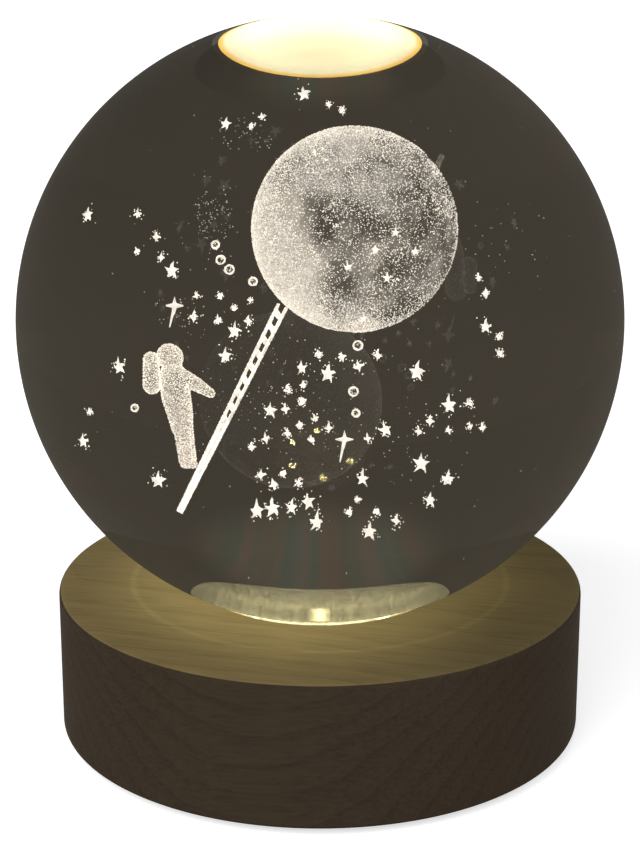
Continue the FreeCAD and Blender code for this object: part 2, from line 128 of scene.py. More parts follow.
class Nodes:
    """The node tree of a material or a world, with short calls to add and join nodes."""

    def __init__(self, owner: bpy.types.Material | bpy.types.World) -> None:
        """Takes over an owner's node tree and empties it.

        Args:
            owner: the material or world.
        """
        owner.use_nodes = True
        self.tree = owner.node_tree
        self.tree.nodes.clear()

    def put(self, socket: Socket, value: object) -> None:
        """Joins a socket to another one, or sets its value.

        Args:
            socket: the input to fill.
            value: an output socket, a number, a vector or a colour.
        """
        if isinstance(value, Socket):
            self.tree.links.new(value, socket)
        elif socket.type == "RGBA":
            socket.default_value = (*value, 1.0)
        else:
            socket.default_value = value

    def add(self, kind: str, inputs: dict | None = None, **settings: object) -> bpy.types.Node:
        """Adds a node.

        Args:
            kind: the node's type, without the leading ShaderNode.
            inputs: values or sockets for its inputs, by name or number.
            settings: the node's own properties.

        Returns:
            The new node.
        """
        node = self.tree.nodes.new("ShaderNode" + kind)
        for key, value in settings.items():
            setattr(node, key, value)
        for key, value in (inputs or {}).items():
            self.put(node.inputs[key], value)
        return node

    def math(self, operation: str, *values: object) -> Socket:
        """The result of an operation on numbers or sockets."""
        return self.add("Math", dict(enumerate(values)), operation=operation).outputs[0]

    def times(self, first: object, *others: object) -> Socket:
        """The product of numbers or sockets.

        Args:
            first: a number or a socket.
            others: what it is multiplied by.

        Returns:
            The product's socket.
        """
        for other in others:
            first = self.math("MULTIPLY", first, other)
        return first

    def plus(self, first: object, *others: object) -> Socket:
        """The sum of numbers or sockets.

        Args:
            first: a number or a socket.
            others: what is added to it.

        Returns:
            The sum's socket.
        """
        for other in others:
            first = self.math("ADD", first, other)
        return first

    def vector(self, operation: str, *values: object) -> Socket:
        """The vector that an operation on vectors or sockets gives."""
        return self.add("VectorMath", dict(enumerate(values)), operation=operation).outputs[0]

    def length(self, operation: str, *values: object) -> Socket:
        """The number that an operation on vectors or sockets gives."""
        node = self.add("VectorMath", dict(enumerate(values)), operation=operation)
        return node.outputs["Value"]

    def ramp(self, value: object, *stops: Point, soft: bool = True) -> Socket:
        """A value carried over from one range to another, and held at the ends.

        Args:
            value: the socket to carry over.
            stops: two pairs of a value and what it becomes.
            soft: whether it eases in and out.

        Returns:
            The result's socket.
        """
        (low, to_low), (high, to_high) = stops
        inputs = {"Value": value, "From Min": low, "From Max": high, "To Min": to_low,
                  "To Max": to_high}
        easing = "SMOOTHSTEP" if soft else "LINEAR"
        return self.add("MapRange", inputs, interpolation_type=easing).outputs[0]

    def pick(self, share: object, first: object, second: object) -> Socket:
        """A number between two numbers, which share picks."""
        return self.add("Mix", {0: share, 2: first, 3: second}, data_type="FLOAT").outputs[0]

    def mix(self, share: object, first: object, second: object) -> Socket:
        """A colour between two colours, which share picks."""
        node = self.add("Mix", {0: share, 6: first, 7: second}, data_type="RGBA")
        return node.outputs[2]

    def millimetres(self) -> Socket:
        """Places on the object in millimetres."""
        return self.stretched(self.add("TexCoord").outputs["Object"], (1 / MM,) * 3)

    def stretched(self, place: Socket, scale: tuple[float, float, float]) -> Socket:
        """Places with a scale of their own along each axis."""
        return self.vector("MULTIPLY", place, scale)

    def noise(self, place: object, scale: float, detail: float = 3.0) -> Socket:
        """Soft noise between 0 and 1.

        Args:
            place: where it is read.
            scale: how fine it is.
            detail: how many finer layers it has.

        Returns:
            The noise's socket.
        """
        return self.add("TexNoise", {"Vector": place, "Scale": scale, "Detail": detail}).outputs[0]

    def bump(self, height: object, depth: float, strength: float = 1.0) -> Socket:
        """A surface normal for fine relief.

        Args:
            height: the relief's height, from 0 to 1.
            depth: the height of 1, in metres.
            strength: how much of it shows.

        Returns:
            The normal's socket.
        """
        inputs = {"Height": height, "Distance": depth, "Strength": strength}
        return self.add("Bump", inputs).outputs[0]

    def surface(self, inputs: dict) -> None:
        """Ends the tree in one Principled surface with the given inputs."""
        self.output(self.add("BsdfPrincipled", inputs).outputs[0])

    def output(self, shader: Socket) -> None:
        """Ends the tree in a shader of any kind."""
        self.add("OutputMaterial", {"Surface": shader})

    def path(self, name: str) -> Socket:
        """What is known of the ray that meets the surface, by name."""
        return self.add("LightPath").outputs[name]

    def mirrored_share(self, share: float) -> Socket:
        """One for a straight view, and a smaller share for one that the glass has mirrored."""
        return self.ramp(self.math("MINIMUM", self.path("Glossy Depth"), 1.0), (0.0, 1.0),
                         (1.0, share))

    def mirrored_twice(self) -> Socket:
        """One for a view that the glass has mirrored twice, and none for the others."""
        return self.math("COMPARE", self.path("Glossy Depth"), 2.0, 0.1)

    def in_the_open(self) -> Socket:
        """One for a ray from the camera or a rough surface, and none for one from glass."""
        return self.math("MAXIMUM", self.path("Is Camera Ray"), self.path("Is Diffuse Ray"))

    def from_glass(self) -> Socket:
        """One for a ray that glass has mirrored or bent, and none for the others."""
        return self.math("MAXIMUM", self.path("Is Glossy Ray"), self.path("Is Transmission Ray"))


# ---------------------------------------------------------------- finishes


@dataclass(frozen=True)
class Finish:
    """What a surface is made of and looks like.

    Attributes:
        slot: the material slot in the part's record.
        shines: whether it glows in a view without lighting what is around it.
    """

    slot: str
    shines: ClassVar[bool] = False

    def build(self, nodes: Nodes) -> None:
        """Makes the shader in a new material's empty node tree."""
        raise NotImplementedError

    def dress(self, piece: bpy.types.Object) -> bpy.types.Object:
        """Puts the finish on a piece.

        Args:
            piece: a new piece or a CAD node.

        Returns:
            The piece.
        """
        piece.data.materials.clear()
        piece.data.materials.append(material(self))
        return piece


@cache
def material(finish: Finish) -> bpy.types.Material:
    """The material of a finish, made once.

    Args:
        finish: the finish.

    Returns:
        Its material.
    """
    made = bpy.data.materials.new(f"{finish.slot}_{type(finish).__name__}")
    finish.build(Nodes(made))
    if finish.shines:
        made.cycles.emission_sampling = "NONE"
    return made


@dataclass(frozen=True)
class Crystal(Finish):
    """Clear glass that bends light, and mirrors it a little inside, with a dark tone painted into
    the light that passes it: painted shade in place of dark surroundings seen through the ball.

    Attributes:
        painted_shade_in: the share of light that passes into the ball, a painted shade.
        painted_shade_out: the share that passes out of it, a deeper painted shade.
        outer_gloss: how much of the outside's mirroring shows.
        least_mirrored: the least that the inside mirrors.
        most_mirrored: the most that it mirrors.
        seat_mouth: the height below which the ball is in the wood, takes no painted shade and
            loses no light.
        low_band: the heights between which the painted streaks of coloured light under the scene
            fade out.
        high_band: the heights between which the streaks above it fade in.
        band_gain: how strong the streaks are.
        warm_fineness: how many warm streaks there are.
        cool_fineness: how many cool ones.
    """

    slot: str = "crystal"
    bending: float = 1.517
    # Painted shade: the two tints darken all that is seen through the clear ball.
    painted_shade_in: Colour = (0.36, 0.35, 0.34)
    painted_shade_out: Colour = (0.136, 0.117, 0.088)
    outer_gloss: float = 0.04
    least_mirrored: float = 0.042
    most_mirrored: float = 0.2
    seat_mouth: float = 21.1 * MM
    low_band: Point = (36.6 * MM, 38.2 * MM)
    high_band: Point = (58.0 * MM, 58.9 * MM)
    band_gain: float = 0.55
    warm_fineness: float = 34.0
    cool_fineness: float = 9.0

    def build(self, nodes: Nodes) -> None:
        """Mixes a shader that bends light with one that mirrors it.

        Args:
            nodes: the new material's empty node tree.
        """
        inside = nodes.add("NewGeometry").outputs["Backfacing"]
        grazing = nodes.add("Fresnel", {"IOR": self.bending}).outputs[0]
        inner = nodes.math("MINIMUM", nodes.math("MAXIMUM", grazing, self.least_mirrored),
                           self.most_mirrored)
        mirrored = nodes.pick(inside, nodes.times(grazing, self.outer_gloss), inner)
        place = nodes.add("NewGeometry").outputs["Position"]
        height = nodes.add("SeparateXYZ", {0: place}).outputs["Z"]
        # Below the seat's mouth the leaving light keeps its full strength. Above it, the light
        # takes the painted shade.
        in_seat = nodes.math("LESS_THAN", height, self.seat_mouth)
        leaving = nodes.mix(in_seat, self.painted_streaks(nodes, place, height), WHITE)
        bent = nodes.add("BsdfRefraction", {"Color": nodes.mix(inside, self.painted_shade_in, leaving),
                                            "IOR": self.bending, "Roughness": 0.0})
        glossy = nodes.add("BsdfAnisotropic", {"Color": WHITE, "Roughness": 0.0})
        both = nodes.add("MixShader", {0: mirrored, 1: bent.outputs[0], 2: glossy.outputs[0]})
        nodes.output(both.outputs[0])

    def painted_streaks(self, nodes: Nodes, place: Socket, height: Socket) -> Socket:
        """The leaving light's painted shade, with faint upright painted streaks of coloured light
        above and below the scene.

        Args:
            nodes: the node tree.
            place: the place on the ball.
            height: its height.

        Returns:
            The colour's socket.
        """
        # Painted light: faint upright streaks of colour in the light leaving the ball.
        around = nodes.vector("NORMALIZE", nodes.stretched(place, (1.0, 1.0, 0.0)))
        warm = nodes.noise(nodes.stretched(around, (self.warm_fineness,) * 3), 1.0, 2.0)
        cool = nodes.noise(nodes.stretched(around, (self.cool_fineness,) * 3), 1.0, 1.0)
        low = nodes.ramp(height, (self.low_band[0], 1.0), (self.low_band[1], 0.0))
        high = nodes.ramp(height, (self.high_band[0], 0.0), (self.high_band[1], 1.0))
        band = nodes.times(nodes.math("MAXIMUM", low, high), self.band_gain)
        red = nodes.ramp(warm, (0.35, 0.6), (0.65, 1.5))
        blue = nodes.ramp(cool, (0.35, 1.4), (0.65, 0.7))
        green = nodes.plus(nodes.times(blue, 0.7), 0.4)
        parts = [nodes.times(nodes.plus(1.0, nodes.times(band, share)), part)
                 for share, part in zip((red, green, blue), self.painted_shade_out)]
        return nodes.add("CombineColor", dict(enumerate(parts))).outputs[0]


@dataclass(frozen=True)
class Engraving(Finish):
    """The frosty white of marks made inside the glass, whose catch of the light from below is
    painted on as a glow by emission.

    Attributes:
        glow: how bright the painted glow of the brightest marks is.
        unevenness: how much darker the darkest are.
        mirrored: the share that shows in the ball's inner reflections.
    """

    slot: str = "engraving"
    colour: Colour = (1.0, 0.95, 0.86)
    glow: float = 2.6
    unevenness: float = 0.55
    mirrored: float = 0.3
    shines: ClassVar[bool] = True

    def build(self, nodes: Nodes) -> None:
        """Gives the marks an uneven painted glow.

        Args:
            nodes: the new material's empty node tree.
        """
        place = nodes.millimetres()
        # Painted light: the marks glow by emission, unevenly, in place of the LED light they
        # catch.
        patchy = nodes.noise(place, 1.6, 2.0)
        level = nodes.ramp(patchy, (0.3, self.glow * (1 - self.unevenness)), (0.7, self.glow))
        grain = nodes.bump(nodes.noise(place, 9.0), 0.05 * MM)
        nodes.surface({"Base Color": self.colour, "Roughness": 0.7, "Normal": grain,
                       "Emission Color": self.colour, "Emission Strength": level,
                       "Alpha": nodes.mirrored_share(self.mirrored)})


@dataclass(frozen=True)
class EngravedHaze(Finish):
    """A thin cloud of marks too fine to see one by one, which the light half passes, with a
    painted glow by emission for the light it catches.

    Attributes:
        glow: how bright its painted glow is.
        mirrored: the share that shows in the ball's inner reflections.
        thinnest: the share of light that it stops where it is thinnest.
        thickest: the share where it is thickest.
        scale: how fine its patches are.
    """

    slot: str = "engraving"
    colour: Colour = (1.0, 0.95, 0.86)
    glow: float = 1.2
    mirrored: float = 0.3
    thinnest: float = 0.12
    thickest: float = 0.55
    scale: float = 0.45
    shines: ClassVar[bool] = True

    def cover(self, nodes: Nodes, place: Socket) -> Socket:
        """The share of light that the haze stops at a place in millimetres."""
        patchy = nodes.noise(place, self.scale, 4.0)
        return nodes.ramp(patchy, (0.35, self.thinnest), (0.65, self.thickest))

    def build(self, nodes: Nodes) -> None:
        """Mixes a glowing surface with a clear one.

        Args:
            nodes: the new material's empty node tree.
        """
        cover = nodes.times(self.cover(nodes, nodes.millimetres()),
                            nodes.mirrored_share(self.mirrored))
        # Painted light: the haze glows by emission.
        nodes.surface({"Base Color": self.colour, "Roughness": 0.8, "Alpha": cover,
                       "Emission Color": self.colour, "Emission Strength": self.glow})


@dataclass(frozen=True)
class MoonFace:
    """Where the moon is dark and where it is bright.

    Attributes:
        plains: dark plains, each with its place across and up, its size and its depth.
        peaks: bright ground, given in the same way.
        even: how bright it is elsewhere.
        fall: how much darker it gets towards its right side.
    """

    plains: tuple = ((-0.38, 0.40, 0.22, 1.3), (-0.30, 0.11, 0.20, 1.2), (0.14, 0.19, 0.22, 1.2),
                     (-0.72, 0.44, 0.16, 0.9), (0.45, 0.30, 0.22, 0.4), (0.50, -0.15, 0.30, 0.4),
                     (-0.04, -0.14, 0.22, 0.9), (-0.26, -0.32, 0.16, 0.6),
                     (0.44, -0.68, 0.22, 0.7), (0.67, 0.20, 0.22, 0.3))
    peaks: tuple = ((0.08, 0.73, 0.08, 3.2), (0.30, 0.55, 0.24, 0.7), (-0.30, 0.90, 0.24, 1.0),
                    (-0.70, -0.25, 0.34, 0.6), (-0.55, -0.70, 0.30, 0.9), (-0.88, 0.10, 0.18, 0.6),
                    (0.10, -0.92, 0.20, 0.6), (-0.08, 0.36, 0.14, 0.5))
    even: float = 0.42
    fall: float = 0.22


@dataclass(frozen=True)
class MoonHaze(EngravedHaze):
    """The moon's haze, thin over the dark plains and thick towards the lit side.

    Attributes:
        face: where the moon is dark and bright.
        centre: the moon's centre in millimetres.
        radius: its radius in millimetres.
        swing: how far the patches stray from the even level.
        spot_gain: how strongly plains and peaks show.
        spot_reach: how far they reach, as a multiple of their size.
    """

    face: MoonFace = MoonFace()
    centre: tuple[float, float, float] = (3.1, 0.0, 65.8)
    radius: float = 9.2
    glow: float = 1.9
    thinnest: float = 0.015
    thickest: float = 0.40
    scale: float = 0.3
    swing: float = 0.3
    spot_gain: float = 0.5
    spot_reach: float = 1.6

    def cover(self, nodes: Nodes, place: Socket) -> Socket:
        """The share of light that the haze stops from place to place.

        Args:
            nodes: the node tree.
            place: the place in millimetres.

        Returns:
            The share's socket.
        """
        offset = nodes.vector("SUBTRACT", place, self.centre)
        across = nodes.stretched(offset, (1 / self.radius, 0.0, 1 / self.radius))
        patchy = nodes.noise(place, self.scale, 5.0)
        level = nodes.ramp(patchy, (0.3, self.face.even - self.swing),
                           (0.7, self.face.even + self.swing))
        sideways = nodes.add("SeparateXYZ", {0: across}).outputs["X"]
        level = nodes.math("SUBTRACT", level, nodes.times(sideways, self.face.fall))
        plains = [(x, z, size, -depth) for x, z, size, depth in self.face.plains]
        for x, z, size, height in [*plains, *self.face.peaks]:
            away = nodes.length("DISTANCE", across, (x, 0.0, z))
            level = nodes.plus(level, nodes.ramp(away, (0.0, self.spot_gain * height),
                                                 (self.spot_reach * size, 0.0)))
        return nodes.ramp(level, (0.05, self.thinnest), (1.0, self.thickest))


@dataclass(frozen=True)
class TurnedWood(Finish):
    """Brown wood, turned and oiled, written as dark as it shows in dim light, which is partly
    painted shade, with a painted pool of the lamp's light on its top, drawn by emission.

    Heights, widths and radii are in millimetres.

    Attributes:
        pith_height: how high the tree's middle lay.
        grain_turn: how far the grain is turned about the vertical.
        ring_width: the width of a year ring.
        ring_wobble: how far a ring strays.
        ring_share: how strongly the year rings show.
        fibre_share: how strongly the fibres show.
        patch_share: how strongly broad patches show.
        pore_share: how strongly the pores show.
        top: the height of the base's top.
        top_skin: how far under it the painted glow reaches.
        seat_radius: the radius of the seat's mouth.
        near_level: the painted glow at the seat's mouth.
        far_level: the painted glow where it ends.
        glow_reach: how far from the mouth that is.
        painted_light_ring: the radius of the painted bright ring, in place of the one that the
            ball throws.
        ring_level: how bright it is.
        ring_half: half of its width.
        painted_shade_side: the share of the painted glow at the right side, a painted shade.
        dim_span: where along X it dims.
    """

    slot: str = "turned_wood"
    # Partly the wood's own brown, partly painted shade: the tones are written as dark as the wood
    # shows in dim light, far darker than the same wood in the well.
    early: Colour = srgb(60, 51, 40)
    late: Colour = srgb(49, 41, 32)
    pore: Colour = srgb(38, 31, 23)
    # Painted light: the colour of the lamp's glow, drawn on the top by emission.
    glow: Colour = (0.186, 0.140, 0.050)
    pith_height: float = -12.0
    grain_turn: float = math.radians(13)
    ring_width: float = 2.3
    ring_wobble: float = 3.2
    ring_share: float = 0.16
    fibre_share: float = 0.75
    patch_share: float = 0.3
    pore_share: float = 0.45
    top: float = 20.8
    top_skin: float = 0.25
    seat_radius: float = 16.9
    near_level: float = 1.38
    far_level: float = 0.62
    glow_reach: float = 17.0
    painted_light_ring: float = 25.6
    ring_level: float = 0.17
    ring_half: float = 0.8
    painted_shade_side: float = 0.48
    dim_span: Point = (-4.0, 24.0)

    def grain(self, nodes: Nodes, place: Socket) -> tuple[Socket, Socket, Socket]:
        """The year rings, the fibres and the pores.

        Args:
            nodes: the node tree.
            place: the place in millimetres.

        Returns:
            Sockets for rings, fibres and pores, each from 0 to 1.
        """
        trunk = nodes.add("Mapping", {"Vector": place, "Rotation": (0, 0.05, self.grain_turn),
                                      "Location": (0, 0, -self.pith_height)}).outputs[0]
        wobble = nodes.noise(nodes.stretched(trunk, (0.02, 0.09, 0.09)), 1.0, 2.0)
        sides = nodes.add("SeparateXYZ", {0: trunk}).outputs
        square = nodes.plus(nodes.times(sides["Y"], sides["Y"]),
                            nodes.times(sides["Z"], sides["Z"]))
        distance = nodes.plus(nodes.math("SQRT", square), nodes.times(wobble, self.ring_wobble))
        year = nodes.math("FRACT", nodes.math("DIVIDE", distance, self.ring_width))
        rings = nodes.math("POWER", year, 2.5)
        fibres = nodes.noise(nodes.stretched(trunk, (0.12, 2.6, 2.6)), 1.0, 4.0)
        dashes = nodes.noise(nodes.stretched(trunk, (0.5, 5.0, 5.0)), 1.0, 1.0)
        return rings, fibres, nodes.ramp(dashes, (0.66, 0.0), (0.74, 1.0))

    def painted_lamp_light(self, nodes: Nodes, place: Socket) -> Socket:
        """How much of the lamp's light is painted on the top by emission, from the seat outwards.

        Args:
            nodes: the node tree.
            place: the place in millimetres.

        Returns:
            The level of light.
        """
        sides = nodes.add("SeparateXYZ", {0: place}).outputs
        radius = nodes.length("LENGTH", nodes.stretched(place, (1.0, 1.0, 0.0)))
        # A painted pool of light, brightest at the seat's mouth.
        wide = nodes.ramp(radius, (self.seat_radius, self.near_level),
                          (self.seat_radius + self.glow_reach, self.far_level))
        # A painted bright ring, in place of the one that the ball throws.
        off_ring = nodes.math("ABSOLUTE", nodes.math("SUBTRACT", radius, self.painted_light_ring))
        ring = nodes.ramp(off_ring, (0.0, self.ring_level), (self.ring_half, 0.0))
        # Painted shade: the glow fades towards the right.
        left, right = self.dim_span
        painted_dimming = nodes.ramp(sides["X"], (left, 1.0), (right, self.painted_shade_side))
        # Only the top takes the painted glow, and the sides stay unlit.
        on_top = nodes.math("GREATER_THAN", sides["Z"], self.top - self.top_skin)
        return nodes.times(nodes.plus(wide, ring), painted_dimming, on_top)

    def build(self, nodes: Nodes) -> None:
        """Makes the grain in the wood's depth, so that it runs over every edge.

        Args:
            nodes: the new material's empty node tree.
        """
        place = nodes.millimetres()
        rings, fibres, pores = self.grain(nodes, place)
        tone = nodes.plus(nodes.times(rings, self.ring_share),
                          nodes.times(fibres, self.fibre_share),
                          nodes.times(nodes.noise(place, 0.07, 2.0), self.patch_share))
        share = nodes.ramp(tone, (0.30, 0.0), (0.95, 1.0))
        wood = nodes.mix(share, self.early, self.late)
        wood = nodes.mix(nodes.times(pores, self.pore_share), wood, self.pore)
        # The painted glow is a little stronger on the paler grain.
        shade = nodes.ramp(share, (0.0, 1.12), (1.0, 0.86))
        relief = nodes.math("SUBTRACT", fibres, pores)
        # The emission is the painted pool of the lamp's light on the top.
        nodes.surface({"Base Color": wood, "Roughness": nodes.ramp(fibres, (0, 0.7), (1, 0.85)),
                       "Specular IOR Level": 0.03,
                       "Normal": nodes.bump(relief, 0.02 * MM, 0.3),
                       "Emission Color": self.glow,
                       "Emission Strength": nodes.times(self.painted_lamp_light(nodes, place), shade)})


@dataclass(frozen=True)
class WellWood(Finish):
    """The wood inside the well, whose flood of LED light is painted on by emission, so that it
    glows though it is no lamp.

    The ball's inner reflections show the front wall once mirrored, at the ball's top, and the
    back wall three times mirrored, at its foot, and the painted light is set for each view apart,
    as painted reflections. Pairs of levels are for the first and the last.
    Heights and widths are in millimetres.

    Attributes:
        foot: the painted light's levels at the wall's foot.
        rim: the painted light's levels at its rim.
        lit_heights: the heights of foot and rim.
        flank: the share of the front wall's level at its flanks.
        behind: the share of the back wall's level away from its middle.
        streaks: how uneven the back wall's painted light is.
        painted_glint: how much brighter the painted glint low in the back wall's middle is.
        glint_width: half of the glint's width.
        glint_heights: the heights between which the glint fades.
        edge_heights: the heights between which the front wall's painted light turns orange at its
            edge.
        painted_twice_mirrored: the share of the level that shows when it is mirrored twice.
        seen_open: the level of the painted light where the well lies open.
    """

    slot: str = "turned_wood"
    wood: Colour = srgb(214, 182, 132)
    fibre: Colour = srgb(186, 150, 100)
    # Painted light: the colours of the LED light that the wall's emission stands in for, and its
    # painted orange edge.
    light: Colour = (1.0, 0.93, 0.58)
    painted_back_light: Colour = (1.0, 0.92, 0.46)
    painted_edge_light: Colour = (1.0, 0.60, 0.10)
    foot: Point = (14.5, 95.0)
    rim: Point = (34.0, 330.0)
    lit_heights: Point = (15.6, 19.6)
    flank: float = 0.45
    behind: float = 0.16
    streaks: float = 0.22
    painted_glint: float = 5.0
    glint_width: float = 1.6
    glint_heights: Point = (16.0, 16.5)
    edge_heights: Point = (20.4, 20.75)
    painted_twice_mirrored: float = 0.12
    seen_open: float = 0.55
    shines: ClassVar[bool] = True

    def level(self, nodes: Nodes, place: Socket, at_back: Socket) -> Socket:
        """How bright the wall's painted light is in the ball.

        Args:
            nodes: the node tree.
            place: the place in millimetres.
            at_back: one for a view of the back wall, and none for the front wall.

        Returns:
            The level's socket.
        """
        sides = nodes.add("SeparateXYZ", {0: place}).outputs
        around = nodes.vector("NORMALIZE", nodes.stretched(place, (1.0, 1.0, 0.0)))
        back = nodes.add("SeparateXYZ", {0: around}).outputs["Y"]
        levels = [nodes.ramp(sides["Z"], *zip(self.lit_heights, ends), soft=False)
                  for ends in zip(self.foot, self.rim)]
        front_share = nodes.ramp(back, (-0.95, 1.0), (-0.45, self.flank))
        back_share = nodes.plus(nodes.math("POWER", nodes.math("MAXIMUM", back, 0.0), 4.0),
                                self.behind)
        stripe = nodes.noise(nodes.stretched(place, (2.2, 2.2, 0.9)), 1.0, 3.0)
        uneven = nodes.ramp(stripe, (0.35, -self.streaks), (0.65, self.streaks))
        # Painted glint: a bright spot low in the back wall's middle.
        low, high = self.glint_heights
        spot = nodes.times(
            nodes.ramp(nodes.math("ABSOLUTE", sides["X"]), (0.0, self.painted_glint),
                       (self.glint_width, 0.0)),
            nodes.ramp(sides["Z"], (low, 1.0), (high, 0.0)), at_back)
        return nodes.times(
            nodes.pick(at_back, *levels), nodes.pick(at_back, front_share, back_share),
            nodes.plus(nodes.times(uneven, at_back), 1.0), nodes.plus(spot, 1.0),
            nodes.ramp(nodes.mirrored_twice(), (0.0, 1.0), (1.0, self.painted_twice_mirrored)))

    def build(self, nodes: Nodes) -> None:
        """Paints the LEDs' light on the wall by emission, growing towards the rim and the back,
        and mild where it lies open.

        Args:
            nodes: the new material's empty node tree.
        """
        place = nodes.millimetres()
        at_back = nodes.math("GREATER_THAN", nodes.path("Glossy Depth"), 2.5)
        height = nodes.add("SeparateXYZ", {0: place}).outputs["Z"]
        # Painted light: the front wall's light turns orange at its edge.
        edge = nodes.times(nodes.ramp(height, *zip(self.edge_heights, (0.0, 1.0))),
                           nodes.math("SUBTRACT", 1.0, at_back))
        light = nodes.mix(edge, nodes.mix(at_back, self.light, self.painted_back_light), self.painted_edge_light)
        fibres = nodes.noise(nodes.stretched(place, (0.25, 2.4, 2.4)), 1.0, 4.0)
        level = nodes.pick(nodes.in_the_open(), self.level(nodes, place, at_back), self.seen_open)
        nodes.surface({"Base Color": nodes.mix(fibres, self.wood, self.fibre), "Roughness": 0.6,
                       "Emission Color": light, "Emission Strength": level})


@dataclass(frozen=True)
class LitBoard(Finish):
    """A circuit board's lacquer, with copper tracks that show as faint ridges under it, and a
    painted glow by emission for the LED light on it.

    Attributes:
        level: how bright its painted glow is in the ball.
        seen_open: the share of that where it lies open.
        track_pitch: the distance between two tracks in millimetres.
    """

    slot: str
    lacquer: Colour
    light: Colour = (1.0, 0.85, 0.50)
    level: float = 0.0
    seen_open: float = 0.03
    track_pitch: float = 2.2
    shines: ClassVar[bool] = True

    def build(self, nodes: Nodes) -> None:
        """Draws the tracks as wide steps in the lacquer.

        Args:
            nodes: the new material's empty node tree.
        """
        place = nodes.millimetres()
        cells = nodes.add("TexVoronoi", {"Vector": place, "Scale": 1 / self.track_pitch,
                                         "Randomness": 0.15}, distance="CHEBYCHEV")
        track = nodes.ramp(cells.outputs["Distance"], (0.30, 0.0), (0.36, 1.0))
        # Painted light: the board glows by emission, less where it lies open.
        level = nodes.ramp(nodes.in_the_open(), (0.0, self.level),
                           (1.0, self.level * self.seen_open))
        nodes.surface({"Base Color": nodes.mix(track, self.lacquer, darker(self.lacquer, 0.86)),
                       "Roughness": nodes.ramp(nodes.noise(place, 2.0), (0.3, 0.32), (0.7, 0.45)),
                       "Normal": nodes.bump(track, 0.03 * MM), "Emission Color": self.light,
                       "Emission Strength": level})


@dataclass(frozen=True)
class Phosphor(Finish):
    """The yellow fill of an LED, lit.

    Attributes:
        level: how bright it is in the ball.
        painted_twice_mirrored: how bright it is when the ball mirrors it twice, raised far above
            its own level as a painted reflection.
        seen_open: the share of the level where it lies open.
    """

    slot: str = "led_phosphor"
    fill: Colour = srgb(250, 214, 120)
    light: Colour = (1.0, 0.85, 0.34)
    level: float = 250.0
    painted_twice_mirrored: float = 3500.0
    seen_open: float = 0.02
    shines: ClassVar[bool] = True

    def build(self, nodes: Nodes) -> None:
        """Gives the fill an uneven glow.

        Args:
            nodes: the new material's empty node tree.
        """
        # Painted reflection: the LED is made far brighter where the ball mirrors it twice.
        level = nodes.ramp(nodes.mirrored_twice(), (0.0, self.level), (1.0, self.painted_twice_mirrored))
        level = nodes.pick(nodes.in_the_open(), level, self.level * self.seen_open)
        grain = nodes.noise(nodes.millimetres(), 6.0, 2.0)
        uneven = nodes.ramp(grain, (0.3, 0.85), (0.7, 1.0))
        nodes.surface({"Base Color": self.fill, "Roughness": 0.25,
                       "Normal": nodes.bump(grain, 0.02 * MM), "Emission Color": self.light,
                       "Emission Strength": nodes.times(level, uneven)})


@dataclass(frozen=True)
class Moulded(Finish):
    """Moulded plastic, rubber or ceramic, with the fine skin of its mould.

    Attributes:
        skin: how fine the skin is.
        depth: how deep it is, in millimetres.
    """

    slot: str
    colour: Colour
    roughness: float = 0.5
    skin: float = 3.0
    depth: float = 0.02

    def build(self, nodes: Nodes) -> None:
        """Gives the surface a fine, even skin and slight changes of tone.

        Args:
            nodes: the new material's empty node tree.
        """
        place = nodes.millimetres()
        patchy = nodes.noise(place, 0.15, 2.0)
        rough = nodes.ramp(patchy, (0.3, self.roughness - 0.06), (0.7, self.roughness + 0.08))
        nodes.surface({"Base Color": nodes.mix(patchy, self.colour, darker(self.colour, 0.78)),
                       "Roughness": rough, "Specular IOR Level": 0.4,
                       "Normal": nodes.bump(nodes.noise(place, self.skin), self.depth * MM, 0.6)})


@dataclass(frozen=True)
class Metal(Finish):
    """Plated or bare metal with fine handling marks."""

    slot: str
    colour: Colour
    roughness: float = 0.28
    scratches: float = 1.2

    def build(self, nodes: Nodes) -> None:
        """Gives the metal long fine marks and an uneven polish.

        Args:
            nodes: the new material's empty node tree.
        """
        drawn = nodes.noise(nodes.stretched(nodes.millimetres(), (8.0, 0.7, 0.7)),
                            self.scratches, 4.0)
        rough = nodes.ramp(drawn, (0.3, self.roughness - 0.08), (0.7, self.roughness + 0.12))
        nodes.surface({"Base Color": nodes.mix(drawn, self.colour, darker(self.colour, 0.8)),
                       "Metallic": 1.0, "Roughness": rough,
                       "Normal": nodes.bump(drawn, 0.01 * MM, 0.4)})


BLACK_CHIP = Moulded(slot="chip_black", colour=srgb(34, 34, 36), roughness=0.38, skin=8.0)


# ---------------------------------------------------------------- mesh building


def placed(name: str, data: bpy.types.ID) -> bpy.types.Object:
    """Puts new data into the scene as an object.

    Args:
        name: the object's name.
        data: its mesh, light or camera.

    Returns:
        The object.
    """
    made = bpy.data.objects.new(name, data)
    bpy.context.scene.collection.objects.link(made)
    return made


def mesh_of(name: str, form: bmesh.types.BMesh, outward: bool = True) -> bpy.types.Mesh:
    """Makes a mesh of a form, which is used up.

    Args:
        name: the mesh's name.
        form: the form.
        outward: whether every face is turned outward first.

    Returns:
        The mesh.
    """
    if outward:
        bmesh.ops.recalc_face_normals(form, faces=form.faces)
    mesh = bpy.data.meshes.new(name)
    form.to_mesh(mesh)
    form.free()
    return mesh


def changed_mesh(name: str, block: bpy.types.Object) -> bpy.types.Mesh:
    """The mesh that an object's modifiers give.

    Args:
        name: the new mesh's name.
        block: the object.

    Returns:
        The new mesh.
    """
    bpy.context.view_layer.update()
    mesh = bpy.data.meshes.new_from_object(
        block.evaluated_get(bpy.context.evaluated_depsgraph_get()))
    mesh.name = name
    return mesh


